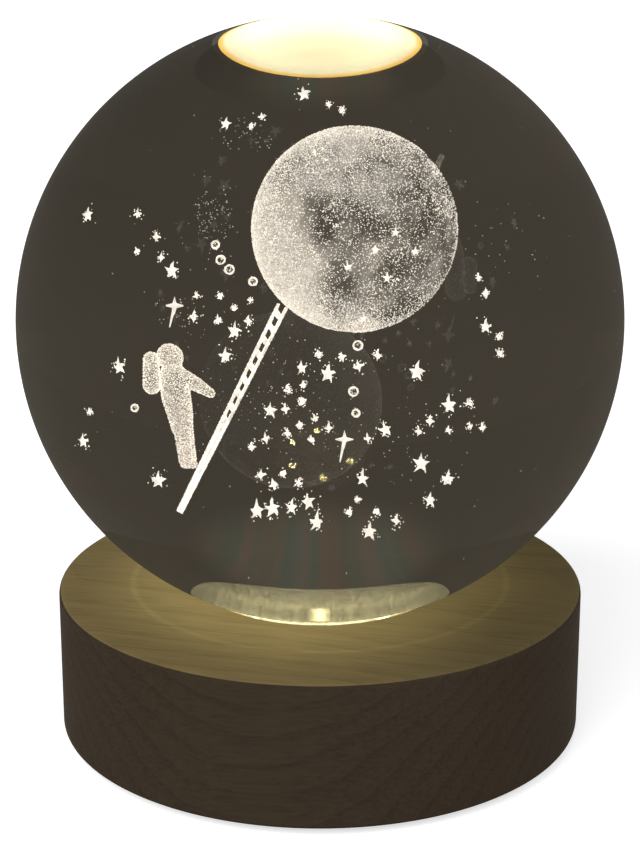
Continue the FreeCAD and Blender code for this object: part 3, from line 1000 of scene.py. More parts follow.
def piece_from(name: str, mesh: bpy.types.Mesh, body: Body, finish: Finish) -> bpy.types.Object:
    """Puts a mesh into the scene as a dressed piece on a body.

    Args:
        name: the piece's name.
        mesh: its mesh, in the frame's own place.
        body: the body that it rides on.
        finish: what it looks like.

    Returns:
        The piece.
    """
    piece = placed(name, mesh)
    finish.dress(piece)
    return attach(piece, body.value)


def dress_all(finishes: dict[str, Finish]) -> list[bpy.types.Object]:
    """Puts its finish on each CAD node of a table, and gives the nodes back."""
    return [finish.dress(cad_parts[name]) for name, finish in finishes.items()]


def smooth(mesh: bpy.types.Mesh, crease: float = 35.0) -> bpy.types.Mesh:
    """Shades a mesh smoothly but for its edges over an angle in degrees.

    Args:
        mesh: the mesh.
        crease: the angle from which an edge stays sharp.

    Returns:
        The mesh.
    """
    mesh.shade_smooth()
    mesh.set_sharp_from_angle(angle=math.radians(crease))
    return mesh


def arc(centre: Point, radius: float, start: float, end: float, steps: int) -> list[Point]:
    """Points along an arc.

    Args:
        centre: the arc's centre, as a distance from the axis and a height.
        radius: its radius.
        start: where it starts, in degrees from the outward direction.
        end: where it ends.
        steps: how many steps it has.

    Returns:
        The points, both ends among them.
    """
    angles = [math.radians(blend(start, end, k / steps)) for k in range(steps + 1)]
    return [(centre[0] + radius * math.cos(a), centre[1] + radius * math.sin(a)) for a in angles]


def turned(name: str, outline: Sequence[Point], centre: Vector = Vector()) -> bpy.types.Mesh:
    """A mesh made by turning an outline about the vertical.

    Args:
        name: the mesh's name.
        outline: pairs of a distance from the axis and a height.
        centre: where the axis stands.

    Returns:
        The mesh.
    """
    form = bmesh.new()
    angles = [FULL_TURN * k / TURNED_FACES for k in range(TURNED_FACES)]
    rings = []
    for reach, height in outline:
        on_axis = reach < TOUCHING
        rings.append([form.verts.new(centre + Vector((reach * math.cos(a), reach * math.sin(a),
                                                      height)))
                      for a in (angles[:1] if on_axis else angles)])
    for low, high in zip(rings, rings[1:]):
        for k in range(TURNED_FACES):
            corners = [low[k % len(low)], low[(k + 1) % len(low)],
                       high[(k + 1) % len(high)], high[k % len(high)]]
            form.faces.new(list(dict.fromkeys(corners)))
    return smooth(mesh_of(name, form))


def cut(mesh: bpy.types.Mesh, cutters: Iterable[bpy.types.Mesh]) -> bpy.types.Mesh:
    """Takes the shapes of cutters out of a mesh.

    Args:
        mesh: the mesh to cut.
        cutters: closed meshes that are used up.

    Returns:
        The cut mesh.
    """
    block = placed(mesh.name + "_block", mesh)
    tools = [placed(cutter.name, cutter) for cutter in cutters]
    for tool in tools:
        change = block.modifiers.new("cut", "BOOLEAN")
        change.operation, change.solver, change.object = "DIFFERENCE", "EXACT", tool
    result = changed_mesh(mesh.name + "_cut", block)
    for used in [block, *tools]:
        bpy.data.objects.remove(used)
    return smooth(result)


def islands(mesh: bpy.types.Mesh) -> Iterator[list[Vector]]:
    """The corners of each separate solid in a mesh.

    Args:
        mesh: the mesh of a CAD node.

    Yields:
        The corners of one solid after another.
    """
    form = bmesh.new()
    form.from_mesh(mesh)
    bmesh.ops.remove_doubles(form, verts=form.verts, dist=TOUCHING)
    waiting = set(form.verts)
    while waiting:
        first = min(waiting, key=lambda v: v.index)
        found, edge = {first}, [first]
        while edge:
            for link in edge.pop().link_edges:
                for corner in link.verts:
                    if corner not in found:
                        found.add(corner)
                        edge.append(corner)
        waiting -= found
        yield [corner.co.copy() for corner in sorted(found, key=lambda v: v.index)]
    form.free()


def centre_and_reach(corners: Sequence[Vector]) -> tuple[Vector, float]:
    """The middle of some corners, and how far the farthest one stands from it."""
    centre = sum(corners, Vector()) / len(corners)
    return centre, max((corner - centre).length for corner in corners)


class Speckles:
    """Many tiny marks in the glass, gathered into one mesh."""

    def __init__(self, seed: int) -> None:
        """Starts with no marks.

        Args:
            seed: the seed of the chance that turns and sizes them.
        """
        self.chance = random.Random(seed)
        self.corners: list[Vector] = []
        self.faces: list[tuple[int, int, int]] = []

    def add(self, place: Vector, size: float) -> None:
        """Adds a mark with four sides, turned at random.

        Args:
            place: its middle.
            size: its width.
        """
        axis = Vector([self.chance.gauss(0, 1) for _ in range(3)])
        turn = Quaternion(axis, self.chance.uniform(0, FULL_TURN))
        start = len(self.corners)
        for corner in ((1, 1, 1), (1, -1, -1), (-1, 1, -1), (-1, -1, 1)):
            self.corners.append(place + turn @ Vector(corner) * size / 2)
        self.faces += [(start, start + 1, start + 2), (start, start + 3, start + 1),
                       (start, start + 2, start + 3), (start + 1, start + 3, start + 2)]

    def scatter_on(self, mesh: bpy.types.Mesh, pitch: float, size: float,
                   share: float = 1.0) -> None:
        """Spreads marks over a surface.

        Args:
            mesh: the surface.
            pitch: the mean distance between two marks.
            size: the width of a mark.
            share: the share of the marks that is kept.
        """
        mesh.calc_loop_triangles()
        corners = [vertex.co for vertex in mesh.vertices]
        owed = 0.0
        for triangle in mesh.loop_triangles:
            owed += triangle.area / pitch ** 2
            a, b, c = (corners[i] for i in triangle.vertices)
            while owed > 0:
                owed -= 1
                first, second = self.chance.random(), self.chance.random()
                if first + second > 1:
                    first, second = 1 - first, 1 - second
                if self.chance.random() < share:
                    self.add(a + (b - a) * first + (c - a) * second,
                             size * self.chance.uniform(0.6, 1.2))

    def cloud(self, centre: Vector, spread: Vector, count: int, size: float) -> None:
        """Drops marks round a place, thickest in the middle.

        Args:
            centre: the middle of the cloud.
            spread: how far it reaches along each axis.
            count: how many marks it has.
            size: the width of a mark.
        """
        for _ in range(count):
            step = Vector([self.chance.gauss(0, 0.5) * reach for reach in spread])
            self.add(centre + step, size * self.chance.uniform(0.5, 1.3))

    def piece(self, name: str, finish: Engraving) -> bpy.types.Object:
        """All marks as one piece in the ball.

        Args:
            name: the piece's name.
            finish: what the marks look like.

        Returns:
            The piece.
        """
        mesh = bpy.data.meshes.new(name)
        mesh.from_pydata(self.corners, [], self.faces)
        return piece_from(name, mesh, Body.BALL, finish)


# ---------------------------------------------------------------- the ball and its scene


@dataclass
class CrystalBall:
    """The solid glass ball.

    Attributes:
        finish: the glass.
        rows: how many rows of faces it has from pole to pole.
    """

    finish: Crystal = Crystal()
    rows: int = 180

    def build(self) -> list[bpy.types.Object]:
        """Makes the ball far rounder than its CAD mesh, because glass shows every facet.

        Returns:
            The one piece.
        """
        radius = half_size("crystal_ball")
        half_turn = arc((0.0, 0.0), radius, -90, 90, self.rows)
        half_turn[0], half_turn[-1] = (0.0, -radius), (0.0, radius)
        mesh = turned("crystal_ball_glass", half_turn, middle("crystal_ball"))
        mesh.shade_smooth()
        ball = piece_from("crystal_ball_glass", mesh, Body.BALL, self.finish)
        return [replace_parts(ball, "crystal_ball")]


@dataclass
class EngravedMoon:
    """The moon, drawn by thousands of fine marks on a sphere.

    Attributes:
        haze: the cloud that the node stands for.
        marks: what the marks look like.
        face: where the moon is dark and bright.
        count: how many marks the sphere would have with no dark plains.
        mark: the width of a mark.
        mark_sizes: the smallest and the largest mark, for that width.
        jitter: how far a mark strays from its even place.
        burial: how deep marks lie under the surface, as a share of the radius.
        crater_count: how many craters it has.
        crater_sizes: the angles that the smallest and the largest span.
        crater_rims: how far a rim's marks stray, for its size.
        crater_mark: how much wider its marks are.
        crater_marks: how many marks a crater has for each radian of its size.
        plain_scale: how fine its patches are.
        broad_share: how strongly broad patches show.
        fine_share: how strongly fine patches show.
        spot_share: how strongly plains and peaks show.
        fewest: the share of marks in the darkest places.
    """

    haze: MoonHaze = MoonHaze()
    marks: Engraving = Engraving(glow=2.5, unevenness=0.6)
    face: MoonFace = MoonFace()
    count: int = 34000
    mark: float = 0.085 * MM
    mark_sizes: Point = (0.6, 1.25)
    jitter: float = 0.009
    burial: float = 0.004
    crater_count: int = 22
    crater_sizes: Point = (0.03, 0.10)
    crater_rims: Point = (0.85, 1.15)
    crater_mark: float = 1.15
    crater_marks: float = 420.0
    plain_scale: float = 0.2
    broad_share: float = 0.4
    fine_share: float = 0.35
    spot_share: float = 0.55
    fewest: float = 0.07

    @property
    def centre(self) -> Vector:
        """The moon's centre."""
        return middle("engraved_moon")

    @property
    def radius(self) -> float:
        """The moon's radius."""
        return half_size("engraved_moon")

    def brightness(self, way: Vector) -> float:
        """How densely the marks stand in a direction from the centre.

        Args:
            way: the direction, of length 1.

        Returns:
            The share of marks kept.
        """
        place = self.centre / MM + way * self.radius / MM
        level = self.face.even + self.broad_share * noise.fractal(
            place * self.plain_scale, 1.0, 2.0, 3)
        level += self.fine_share * noise.noise(place * self.plain_scale * 5)
        level -= self.face.fall * way.x
        front = max(0.0, -way.y) ** 0.3
        plains = [(x, z, size, -depth * front) for x, z, size, depth in self.face.plains]
        for x, z, size, height in [*plains, *self.face.peaks]:
            away = math.hypot(way.x - x, way.z - z) / size
            level += height * self.spot_share * math.exp(-away * away)
        return min(1.0, max(self.fewest, level))

    def craters(self, chance: random.Random) -> Iterator[tuple[Vector, float]]:
        """The middle and the size of each crater.

        Args:
            chance: where the craters fall.

        Yields:
            A direction and an angle.
        """
        for _ in range(self.crater_count):
            way = Vector([chance.gauss(0, 1) for _ in range(3)]).normalized()
            yield way, chance.uniform(*self.crater_sizes)

    def build(self) -> list[bpy.types.Object]:
        """Sets the marks on an even spiral over the sphere, with craters as small rings.

        Returns:
            The haze and the marks.
        """
        speckles = Speckles(3)
        chance = random.Random(8)
        golden = math.pi * (3 - math.sqrt(5))
        for k in range(self.count):
            height = 1 - 2 * (k + 0.5) / self.count
            reach = math.sqrt(1 - height * height)
            way = Vector((reach * math.cos(golden * k), height, reach * math.sin(golden * k)))
            way += Vector([chance.gauss(0, self.jitter) for _ in range(3)])
            way.normalize()
            if chance.random() < self.brightness(way):
                depth = self.radius * (1 - abs(chance.gauss(0, self.burial)))
                speckles.add(self.centre + way * depth,
                             self.mark * chance.uniform(*self.mark_sizes))
        for way, angle in self.craters(chance):
            side = way.orthogonal().normalized()
            for _ in range(int(angle * self.crater_marks)):
                turn = Quaternion(way, FULL_TURN * chance.random())
                tilt = Quaternion(side, angle * chance.uniform(*self.crater_rims))
                speckles.add(self.centre + turn @ (tilt @ way) * self.radius * 1.002,
                             self.mark * self.crater_mark)
        marks = speckles.piece("moon_marks", self.marks)
        return [*dress_all({"engraved_moon": self.haze}), marks]


@dataclass
class EngravedFigures:
    """The ladder and the suited figure with the pack on its back.

    Attributes:
        limbs: pairs of ends of the figure's parts, each end with its radius, all in
            millimetres from the ball's middle.
        limb_depths: how far each of them stands from the middle plane.
        pack: the two ends of the pack, given in the same way.
        pack_depths: how far its two halves stand from the middle plane.
        limb_steps: how many steps a limb is melted from.
        skin: the cell width of the melted skin.
        ladder_ends: the middle of the ladder's foot and of its top.
        ladder_widths: how wide it is there.
        rail: the width of a rail.
        rung_pitch: the distance between two rungs.
        rung: the width of a rung.
        slant: how much higher a rung's right end is.
        filled: the share of the ladder, from its foot, that is one solid strip.
        depth: the thickness of the ladder.
        pitch: the mean distance between two marks.
        ladder_pitch: the same on the ladder.
        mark: the width of a mark.
    """

    haze: EngravedHaze = EngravedHaze(thinnest=0.16, thickest=0.34)
    solid: Engraving = Engraving(glow=2.7, unevenness=0.3)
    marks: Engraving = Engraving(glow=2.4, unevenness=0.4)
    limbs: tuple = (
        ((-13.2, -3.15, 1.12), (-13.0, -3.3, 1.12)), ((-12.8, -4.9, 1.2), (-12.5, -6.6, 1.32)),
        ((-12.5, -6.6, 1.32), (-12.1, -8.2, 1.14)), ((-12.1, -8.2, 1.14), (-11.9, -9.4, 0.98)),
        ((-12.0, -9.4, 0.74), (-11.6, -12.2, 0.62)), ((-11.6, -9.4, 0.70), (-11.1, -12.2, 0.56)),
        ((-11.6, -12.6, 0.44), (-10.9, -12.65, 0.42)), ((-11.9, -5.0, 0.72), (-10.6, -5.7, 0.60)),
        ((-10.6, -5.7, 0.60), (-9.5, -6.4, 0.40)),
    )
    limb_depths: tuple = (0.0, 0.0, 0.0, 0.0, -0.45, 0.45, 0.0, -0.3, -0.3)
    pack: tuple = ((-14.75, -3.55, 0.72), (-14.65, -5.75, 0.78))
    pack_depths: Point = (-0.25, 0.25)
    limb_steps: int = 6
    skin: float = 0.11 * MM
    ladder_ends: tuple[Point, Point] = ((-12.0, -16.85), (-3.3, 1.35))
    ladder_widths: Point = (0.54, 1.0)
    rail: float = 0.22
    rung_pitch: float = 1.3
    rung: float = 0.42
    slant: float = 0.42
    filled: float = 0.42
    depth: float = 0.3
    pitch: float = 0.175 * MM
    ladder_pitch: float = 0.13 * MM
    mark: float = 0.09 * MM

    def in_ball(self, x: float, z: float, y: float = 0.0) -> Vector:
        """A place given in millimetres from the ball's middle."""
        return middle("crystal_ball") + Vector((x, y, z)) * MM

    def rounded(self, name: str, limbs: Sequence, depths: Sequence[float]) -> bpy.types.Mesh:
        """Melts tapered round limbs into one closed skin.

        Args:
            name: the mesh's name.
            limbs: pairs of ends, each with its radius.
            depths: how far each limb stands from the middle plane.

        Returns:
            The skin.
        """
        form = bmesh.new()
        for (first, last), y in zip(limbs, depths):
            for k in range(self.limb_steps + 1):
                x, z, radius = (blend(first[i], last[i], k / self.limb_steps) for i in range(3))
                ball = bmesh.ops.create_icosphere(form, subdivisions=2, radius=radius * MM)
                bmesh.ops.translate(form, verts=ball["verts"], vec=self.in_ball(x, z, y))
        block = placed(name + "_block", mesh_of(name, form, outward=False))
        melt = block.modifiers.new("skin", "REMESH")
        melt.mode, melt.voxel_size = "VOXEL", self.skin
        made = changed_mesh(name, block)
        bpy.data.objects.remove(block)
        return smooth(made, 80.0)

    def bar(self, form: bmesh.types.BMesh, ends: tuple[Point, Point], widths: Point) -> None:
        """Adds a flat tapered bar.

        Args:
            form: the mesh to build in.
            ends: the middles of its two ends, from the ball's middle.
            widths: how wide it is at each.
        """
        start, end = (Vector((x, 0, z)) for x, z in ends)
        across = (end - start).normalized().cross(Vector((0, 1, 0)))
        corners = []
        for place, width in ((start, widths[0]), (end, widths[1])):
            for side, y in ((-1, -1), (1, -1), (1, 1), (-1, 1)):
                corner = place + across * side * width / 2 + Vector((0, y * self.depth / 2, 0))
                corners.append(form.verts.new(self.in_ball(corner.x, corner.z, corner.y)))
        for face in ((0, 1, 2, 3), (7, 6, 5, 4), (0, 4, 5, 1), (1, 5, 6, 2), (2, 6, 7, 3),
                     (3, 7, 4, 0)):
            form.faces.new([corners[i] for i in face])

    def ladder_mesh(self) -> bpy.types.Mesh:
        """The ladder: two rails, slanted rungs, and a foot that is one solid strip.

        Returns:
            The mesh.
        """
        foot, top = (Vector((x, 0, z)) for x, z in self.ladder_ends)
        length = (top - foot).length
        along = (top - foot).normalized()
        across = along.cross(Vector((0, 1, 0)))
        form = bmesh.new()

        def at(height: float, side: float) -> Point:
            """A point at a height, from the left rail at -1 to the right one at 1.

            Args:
                height: how far up the ladder it is.
                side: how far to the right, from -1 to 1.

            Returns:
                Its place across and up.
            """
            half = blend(*self.ladder_widths, height / length) / 2 - self.rail / 2
            place = foot + along * height + across * side * half
            return place.x, place.z

        for side in (-1, 1):
            self.bar(form, (at(0, side), at(length, side)), (self.rail, self.rail))
        solid = length * self.filled
        self.bar(form, (at(0, 0), at(solid, 0)),
                 (self.ladder_widths[0] * 0.8, blend(*self.ladder_widths, self.filled) * 0.8))
        height = solid + self.rung
        while height < length - self.rung / 2:
            self.bar(form, (at(height - self.slant / 2, -1), at(height + self.slant / 2, 1)),
                     (self.rung, self.rung))
            height += self.rung_pitch
        return mesh_of("ladder", form)

    def dotted(self, name: str, mesh: bpy.types.Mesh, node: str, finish: Finish, pitch: float,
               seed: int) -> list[bpy.types.Object]:
        """Replaces a node by a better form and covers that with marks.

        Args:
            name: the new piece's name.
            mesh: its form.
            node: the CAD node.
            finish: what the form looks like.
            pitch: the mean distance between two marks.
            seed: the seed of the marks.

        Returns:
            The form and its marks.
        """
        speckles = Speckles(seed)
        speckles.scatter_on(mesh, pitch, self.mark)
        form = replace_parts(piece_from(name, mesh, Body.BALL, finish), node)
        return [form, speckles.piece(name + "_marks", self.marks)]

    def build(self) -> list[bpy.types.Object]:
        """Makes the figure, the pack and the ladder.

        Returns:
            The pieces.
        """
        figure = self.rounded("suited_figure", self.limbs, self.limb_depths)
        pack = self.rounded("back_pack", (self.pack, self.pack), self.pack_depths)
        return [*self.dotted("suited_figure", figure, "engraved_astronaut", self.haze,
                             self.pitch, 20),
                *self.dotted("back_pack", pack, "engraved_backpack", self.haze, self.pitch, 21),
                *self.dotted("ladder", self.ladder_mesh(), "engraved_ladder", self.solid,
                             self.ladder_pitch, 31)]


@dataclass
class StarField:
    """The stars, small planets and comets, and the dust between them.

    Attributes:
        mark: the width of a mark.
        raggedness: how uneven the stars' outlines are.
        tips: how far the shortest and the longest point reach.
        first_tip: how far the first point reaches.
        waists: how far out the narrowest and the widest waist lie.
        sway: how far a star and each of its corners are turned at most, in radians.
        tallness: how much taller than wide a star is.
        roundness: how thick a star is for its reach.
        core: how large a star is for its CAD one.
        solid_share: the share of small stars that are solid, where the others are only marks.
        star_marks: how many marks fray a solid star, and how many make up another.
        ring_radius: the radius of a small planet.
        ring_sizes: the smallest and the largest planet, for that radius.
        ring_tube: how thick its ring is.
        tube_sizes: the thinnest and the thickest place of a ring.
        ring_steps: how many steps the ring has.
        tube_steps: how many its section has.
        ring_marks: how many marks it has.
        clouds: clouds of dust, each with its place and its reach across and up in millimetres
            from the ball's middle, and how many specks it has.
        loose_specks: how many specks there are outside the clouds.
    """

    stars: Engraving = Engraving(glow=3.0, unevenness=0.3)
    faint: Engraving = Engraving(glow=1.3, unevenness=0.6)
    mark: float = 0.10 * MM
    raggedness: float = 0.15
    tips: Point = (0.78, 1.0)
    first_tip: float = 1.12
    waists: Point = (0.38, 0.48)
    sway: Point = (0.2, 0.08)
    tallness: float = 1.12
    roundness: float = 0.45
    core: float = 0.95
    solid_share: float = 0.72
    star_marks: tuple[int, int] = (18, 60)
    ring_radius: float = 0.36 * MM
    ring_sizes: Point = (0.75, 1.1)
    ring_tube: float = 0.085 * MM
    tube_sizes: Point = (0.7, 1.3)
    ring_steps: int = 24
    tube_steps: int = 6
    ring_marks: int = 22
    clouds: tuple = (((-9.6, 9.6), (2.4, 2.9), 130), ((-7.0, 17.8), (3.0, 1.6), 50),
                     ((16.5, 8.0), (3.6, 3.6), 24), ((-12.0, 0.6), (2.4, 1.6), 40),
                     ((-6.0, -5.5), (6.0, 5.0), 90), ((5.0, -10.0), (8.0, 5.0), 70))
    loose_specks: int = 160

    def star(self, form: bmesh.types.BMesh, corners: list[Vector], points: int,
             chance: random.Random) -> None:
        """Builds a faceted star with ragged points where a flat one stands.

        Args:
            form: the mesh to build in.
            corners: the corners of the flat star.
            points: how many points it has.
            chance: what makes its points uneven.
        """
        centre, reach = centre_and_reach(corners)
        reach *= self.core
        turn, shift = self.sway
        start = math.pi / 2 + chance.uniform(-turn, turn)
        shares = []
        for k in range(points):
            tip = chance.uniform(*self.tips) if k else self.first_tip
            waist = chance.uniform(*self.waists)
            shares += [tip, blend(tip, waist, 0.62), waist, waist]
        rim = []
        for k, share in enumerate(shares):
            share *= 1 + chance.uniform(-self.raggedness, self.raggedness)
            angle = start + FULL_TURN * k / len(shares) + chance.uniform(-shift, shift)
            rim.append(form.verts.new(centre + Vector((
                reach * share * math.cos(angle), reach * chance.uniform(-0.12, 0.12),
                reach * share * math.sin(angle) * self.tallness))))
        for side in (-1, 1):
            peak = form.verts.new(centre + Vector((0, side * reach * self.roundness, 0)))
            for k, corner in enumerate(rim):
                form.faces.new((peak, corner, rim[(k + 1) % len(rim)]))

    def group(self, node: str, points: int, seed: int) -> list[bpy.types.Object]:
        """Replaces one node's flat stars with faceted ones, frayed by fine marks.

        Args:
            node: the CAD node.
            points: how many points its stars have.
            seed: the seed of their unevenness.

        Returns:
            The stars and their marks.
        """
        chance = random.Random(seed)
        form = bmesh.new()
        speckles = Speckles(seed + 1)
        for k, corners in enumerate(islands(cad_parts[node].data)):
            solid = points > 4 or k == 0 or chance.random() < self.solid_share
            if solid:
                self.star(form, corners, points, chance)
            centre, reach = centre_and_reach(corners)
            wide = reach if solid else reach * 0.72
            speckles.cloud(centre, Vector((wide, wide * 0.7, wide * 1.1)),
                           self.star_marks[0 if solid else 1], self.mark)
        name = node.removeprefix("engraved_")
        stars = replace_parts(piece_from(name, mesh_of(name, form), Body.BALL, self.stars), node)
        return [stars, speckles.piece(name + "_marks", self.stars)]

    def rings(self) -> list[bpy.types.Object]:
        """Replaces the small planets' flat rings by fine uneven ones, dotted inside.

        Returns:
            The rings and their marks.
        """
        chance = random.Random(81)
        form = bmesh.new()
        speckles = Speckles(82)
        turns = [FULL_TURN * n / self.tube_steps for n in range(self.tube_steps)]
        for corners in islands(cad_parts["engraved_planets"].data):
            centre, _ = centre_and_reach(corners)
            radius = self.ring_radius * chance.uniform(*self.ring_sizes)
            loops = []
            for k in range(self.ring_steps):
                angle = FULL_TURN * k / self.ring_steps
                out = Vector((math.cos(angle), 0, math.sin(angle)))
                tube = self.ring_tube * chance.uniform(*self.tube_sizes)
                loops.append([form.verts.new(centre + out * (radius + tube * math.cos(turn))
                                             + Vector((0, tube * math.sin(turn), 0)))
                              for turn in turns])
            for loop, other in zip(loops, loops[1:] + loops[:1]):
                for n in range(self.tube_steps):
                    after = (n + 1) % self.tube_steps
                    form.faces.new((loop[n], loop[after], other[after], other[n]))
            speckles.cloud(centre, Vector((radius, radius * 0.6, radius)) * 1.1,
                           self.ring_marks, self.mark)
        rings = piece_from("planet_rings", mesh_of("planet_rings", form), Body.BALL, self.stars)
        return [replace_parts(rings, "engraved_planets"),
                speckles.piece("planet_marks", self.faint)]

    def dust(self) -> bpy.types.Object:
        """Faint clouds and single specks of dust between the stars.

        Returns:
            The dust.
        """
        speckles = Speckles(50)
        centre = middle("crystal_ball")
        for (x, z), (wide, high), count in self.clouds:
            speckles.cloud(centre + Vector((x, 0, z)) * MM, Vector((wide, 1.5, high)) * MM,
                           count, self.mark * 0.9)
        speckles.cloud(centre, Vector((22, 16, 22)) * MM, self.loose_specks, self.mark * 0.8)
        return speckles.piece("star_dust", self.faint)

    def build(self) -> list[bpy.types.Object]:
        """Makes every group of the star field.

        Returns:
            The pieces.
        """
        return [*self.group("engraved_bright_stars", 5, 61),
                *self.group("engraved_small_stars", 4, 71), *self.rings(),
                *dress_all({"engraved_comets": self.stars}), self.dust()]


# ---------------------------------------------------------------- the base


@dataclass
class WoodenBase:
    """The turned base with its round seat, light well, pocket and socket slot.

    Attributes:
        mouth: the radius of the seat's mouth.
        well: the radius of the light well.
        pocket: the radius of the pocket under it.
        edge: the rounding of the outer edges.
        edge_steps: how many steps an edge or the seat has.
        seat_gap: how far the seat stands off the ball.
        cover_gap: how far the wood stands off the bottom cover.
        slot_gap: how far it stands off the socket and its board.
        recess: the width, height and depth of the recess round the socket.
        back_wall: the wood's thickness behind the socket's board.
    """

    outside: TurnedWood = TurnedWood()
    inside: WellWood = WellWood()
    mouth: float = 16.9 * MM
    well: float = 15.6 * MM
    pocket: float = 27.5 * MM
    edge: float = 0.8 * MM
    edge_steps: int = 6
    seat_gap: float = 0.2 * MM
    cover_gap: float = 0.2 * MM
    slot_gap: float = 0.3 * MM
    recess: tuple[float, float, float] = (12.4 * MM, 6.0 * MM, 1.8 * MM)
    back_wall: float = 4.9 * MM

    @property
    def radius(self) -> float:
        """The base's outer radius."""
        return half_size("wood_base", 0)

    def outline(self) -> list[Point]:
        """The closed outline that is turned, from the pocket's middle round to the well's.

        Returns:
            Pairs of a distance from the axis and a height.
        """
        low, high = extent("wood_base")
        floor = extent("led_board")[0].z
        pocket_top = extent("port_board")[1].z
        cover_top = extent("bottom_cover")[1].z
        rebate = half_size("bottom_cover", 0) + self.cover_gap
        ball_low, ball_high = extent("crystal_ball")
        seat = half_size("crystal_ball") + self.seat_gap
        ball_centre = (ball_high.z + ball_low.z) / 2
        edge, outer, steps = self.edge, self.radius, self.edge_steps
        seat_start = math.degrees(math.acos(self.mouth / seat))
        seat_end = math.degrees(math.acos(self.well / seat))
        return [
            (0.0, pocket_top), (self.pocket, pocket_top), (self.pocket, cover_top),
            (rebate, cover_top), (rebate, low.z),
            *arc((outer - edge, low.z + edge), edge, -90, 0, steps),
            *arc((outer - edge, high.z - edge), edge, 0, 90, steps),
            *arc((0.0, ball_centre), seat, -seat_start, -seat_end, steps),
            (self.well, floor), (0.0, floor),
        ]

    def slots(self) -> list[bpy.types.Mesh]:
        """The cutters of the socket's slot, its recess and the bay behind the pocket.

        Returns:
            Closed meshes.
        """
        low, high = extent("socket_shell")
        centre = (low.z + high.z) / 2
        wide, tall = (high.x - low.x) + 2 * self.slot_gap, (high.z - low.z) + 2 * self.slot_gap
        recess_wide, recess_tall, depth = self.recess
        bay = self.radius - self.back_wall
        board_low, board_high = extent("port_board")
        return [
            rounded_bar("slot", wide, tall, (bay - MM, self.radius + MM), centre),
            rounded_bar("recess", recess_wide, recess_tall,
                        (self.radius - depth, self.radius + MM), centre),
            box_between("bay", Vector((board_low.x - self.slot_gap, board_low.y - self.slot_gap,
                                       extent("bottom_cover")[1].z)),
                        Vector((board_high.x + self.slot_gap, bay, board_high.z))),
        ]

    def build(self) -> list[bpy.types.Object]:
        """Turns the wood, cuts the slots and parts the well, whose light is painted on, from the
        rest.

        Returns:
            The one piece.
        """
        mesh = cut(turned("turned_base", self.outline()), self.slots())
        base = piece_from("turned_base", mesh, Body.BASE, self.outside)
        # The well's faces take the wood with the LEDs' light painted on by emission.
        mesh.materials.append(material(self.inside))
        floor, top = extent("led_board")[0].z, extent("wood_base")[1].z
        for face in mesh.polygons:
            reach = face.center.xy.length
            if reach < self.mouth - NEARLY and floor - NEARLY < face.center.z < top - NEARLY:
                face.material_index = 1
        return [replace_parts(base, "wood_base")]


def rounded_bar(name: str, width: float, height: float, reach: Point,
                centre: float) -> bpy.types.Mesh:
    """A bar along Y with round ends to its section.

    Args:
        name: the mesh's name.
        width: the section's width.
        height: its height.
        reach: where it starts and ends along Y.
        centre: the height of its middle.

    Returns:
        The closed mesh.
    """
    half = (width - height) / 2
    section = [*arc((half, centre), height / 2, -90, 90, 16),
               *arc((-half, centre), height / 2, 90, 270, 16)]
    form = bmesh.new()
    ends = [[form.verts.new((x, y, z)) for x, z in section] for y in reach]
    for k in range(len(section)):
        follower = (k + 1) % len(section)
        form.faces.new((ends[0][k], ends[0][follower], ends[1][follower], ends[1][k]))
    for end in ends:
        form.faces.new(end)
    return mesh_of(name, form)


def box_between(name: str, low: Vector, high: Vector) -> bpy.types.Mesh:
    """A closed box between two corners.

    Args:
        name: the mesh's name.
        low: its lowest corner.
        high: its highest corner.

    Returns:
        The mesh.
    """
    form = bmesh.new()
    bmesh.ops.create_cube(form, size=1.0)
    for corner in form.verts:
        corner.co = Vector(blend(low[i], high[i], corner.co[i] + 0.5) for i in range(3))
    return mesh_of(name, form, outward=False)


@dataclass
class LightWell:
    """The LED board in the well, with what is soldered and screwed to it."""

    # level: the white board's painted glow in the ball.
    board: LitBoard = LitBoard(slot="white_board", lacquer=srgb(232, 230, 222), level=9.0)
    package: Moulded = Moulded(slot="led_white", colour=srgb(238, 236, 228), roughness=0.4,
                               skin=6.0)
    phosphor: Phosphor = Phosphor()

    def build(self) -> list[bpy.types.Object]:
        """Dresses the board's own nodes.

        Returns:
            The pieces.
        """
        return dress_all({"led_board": self.board, "led_packages": self.package,
                          "led_lenses": self.phosphor, "led_resistors": BLACK_CHIP})


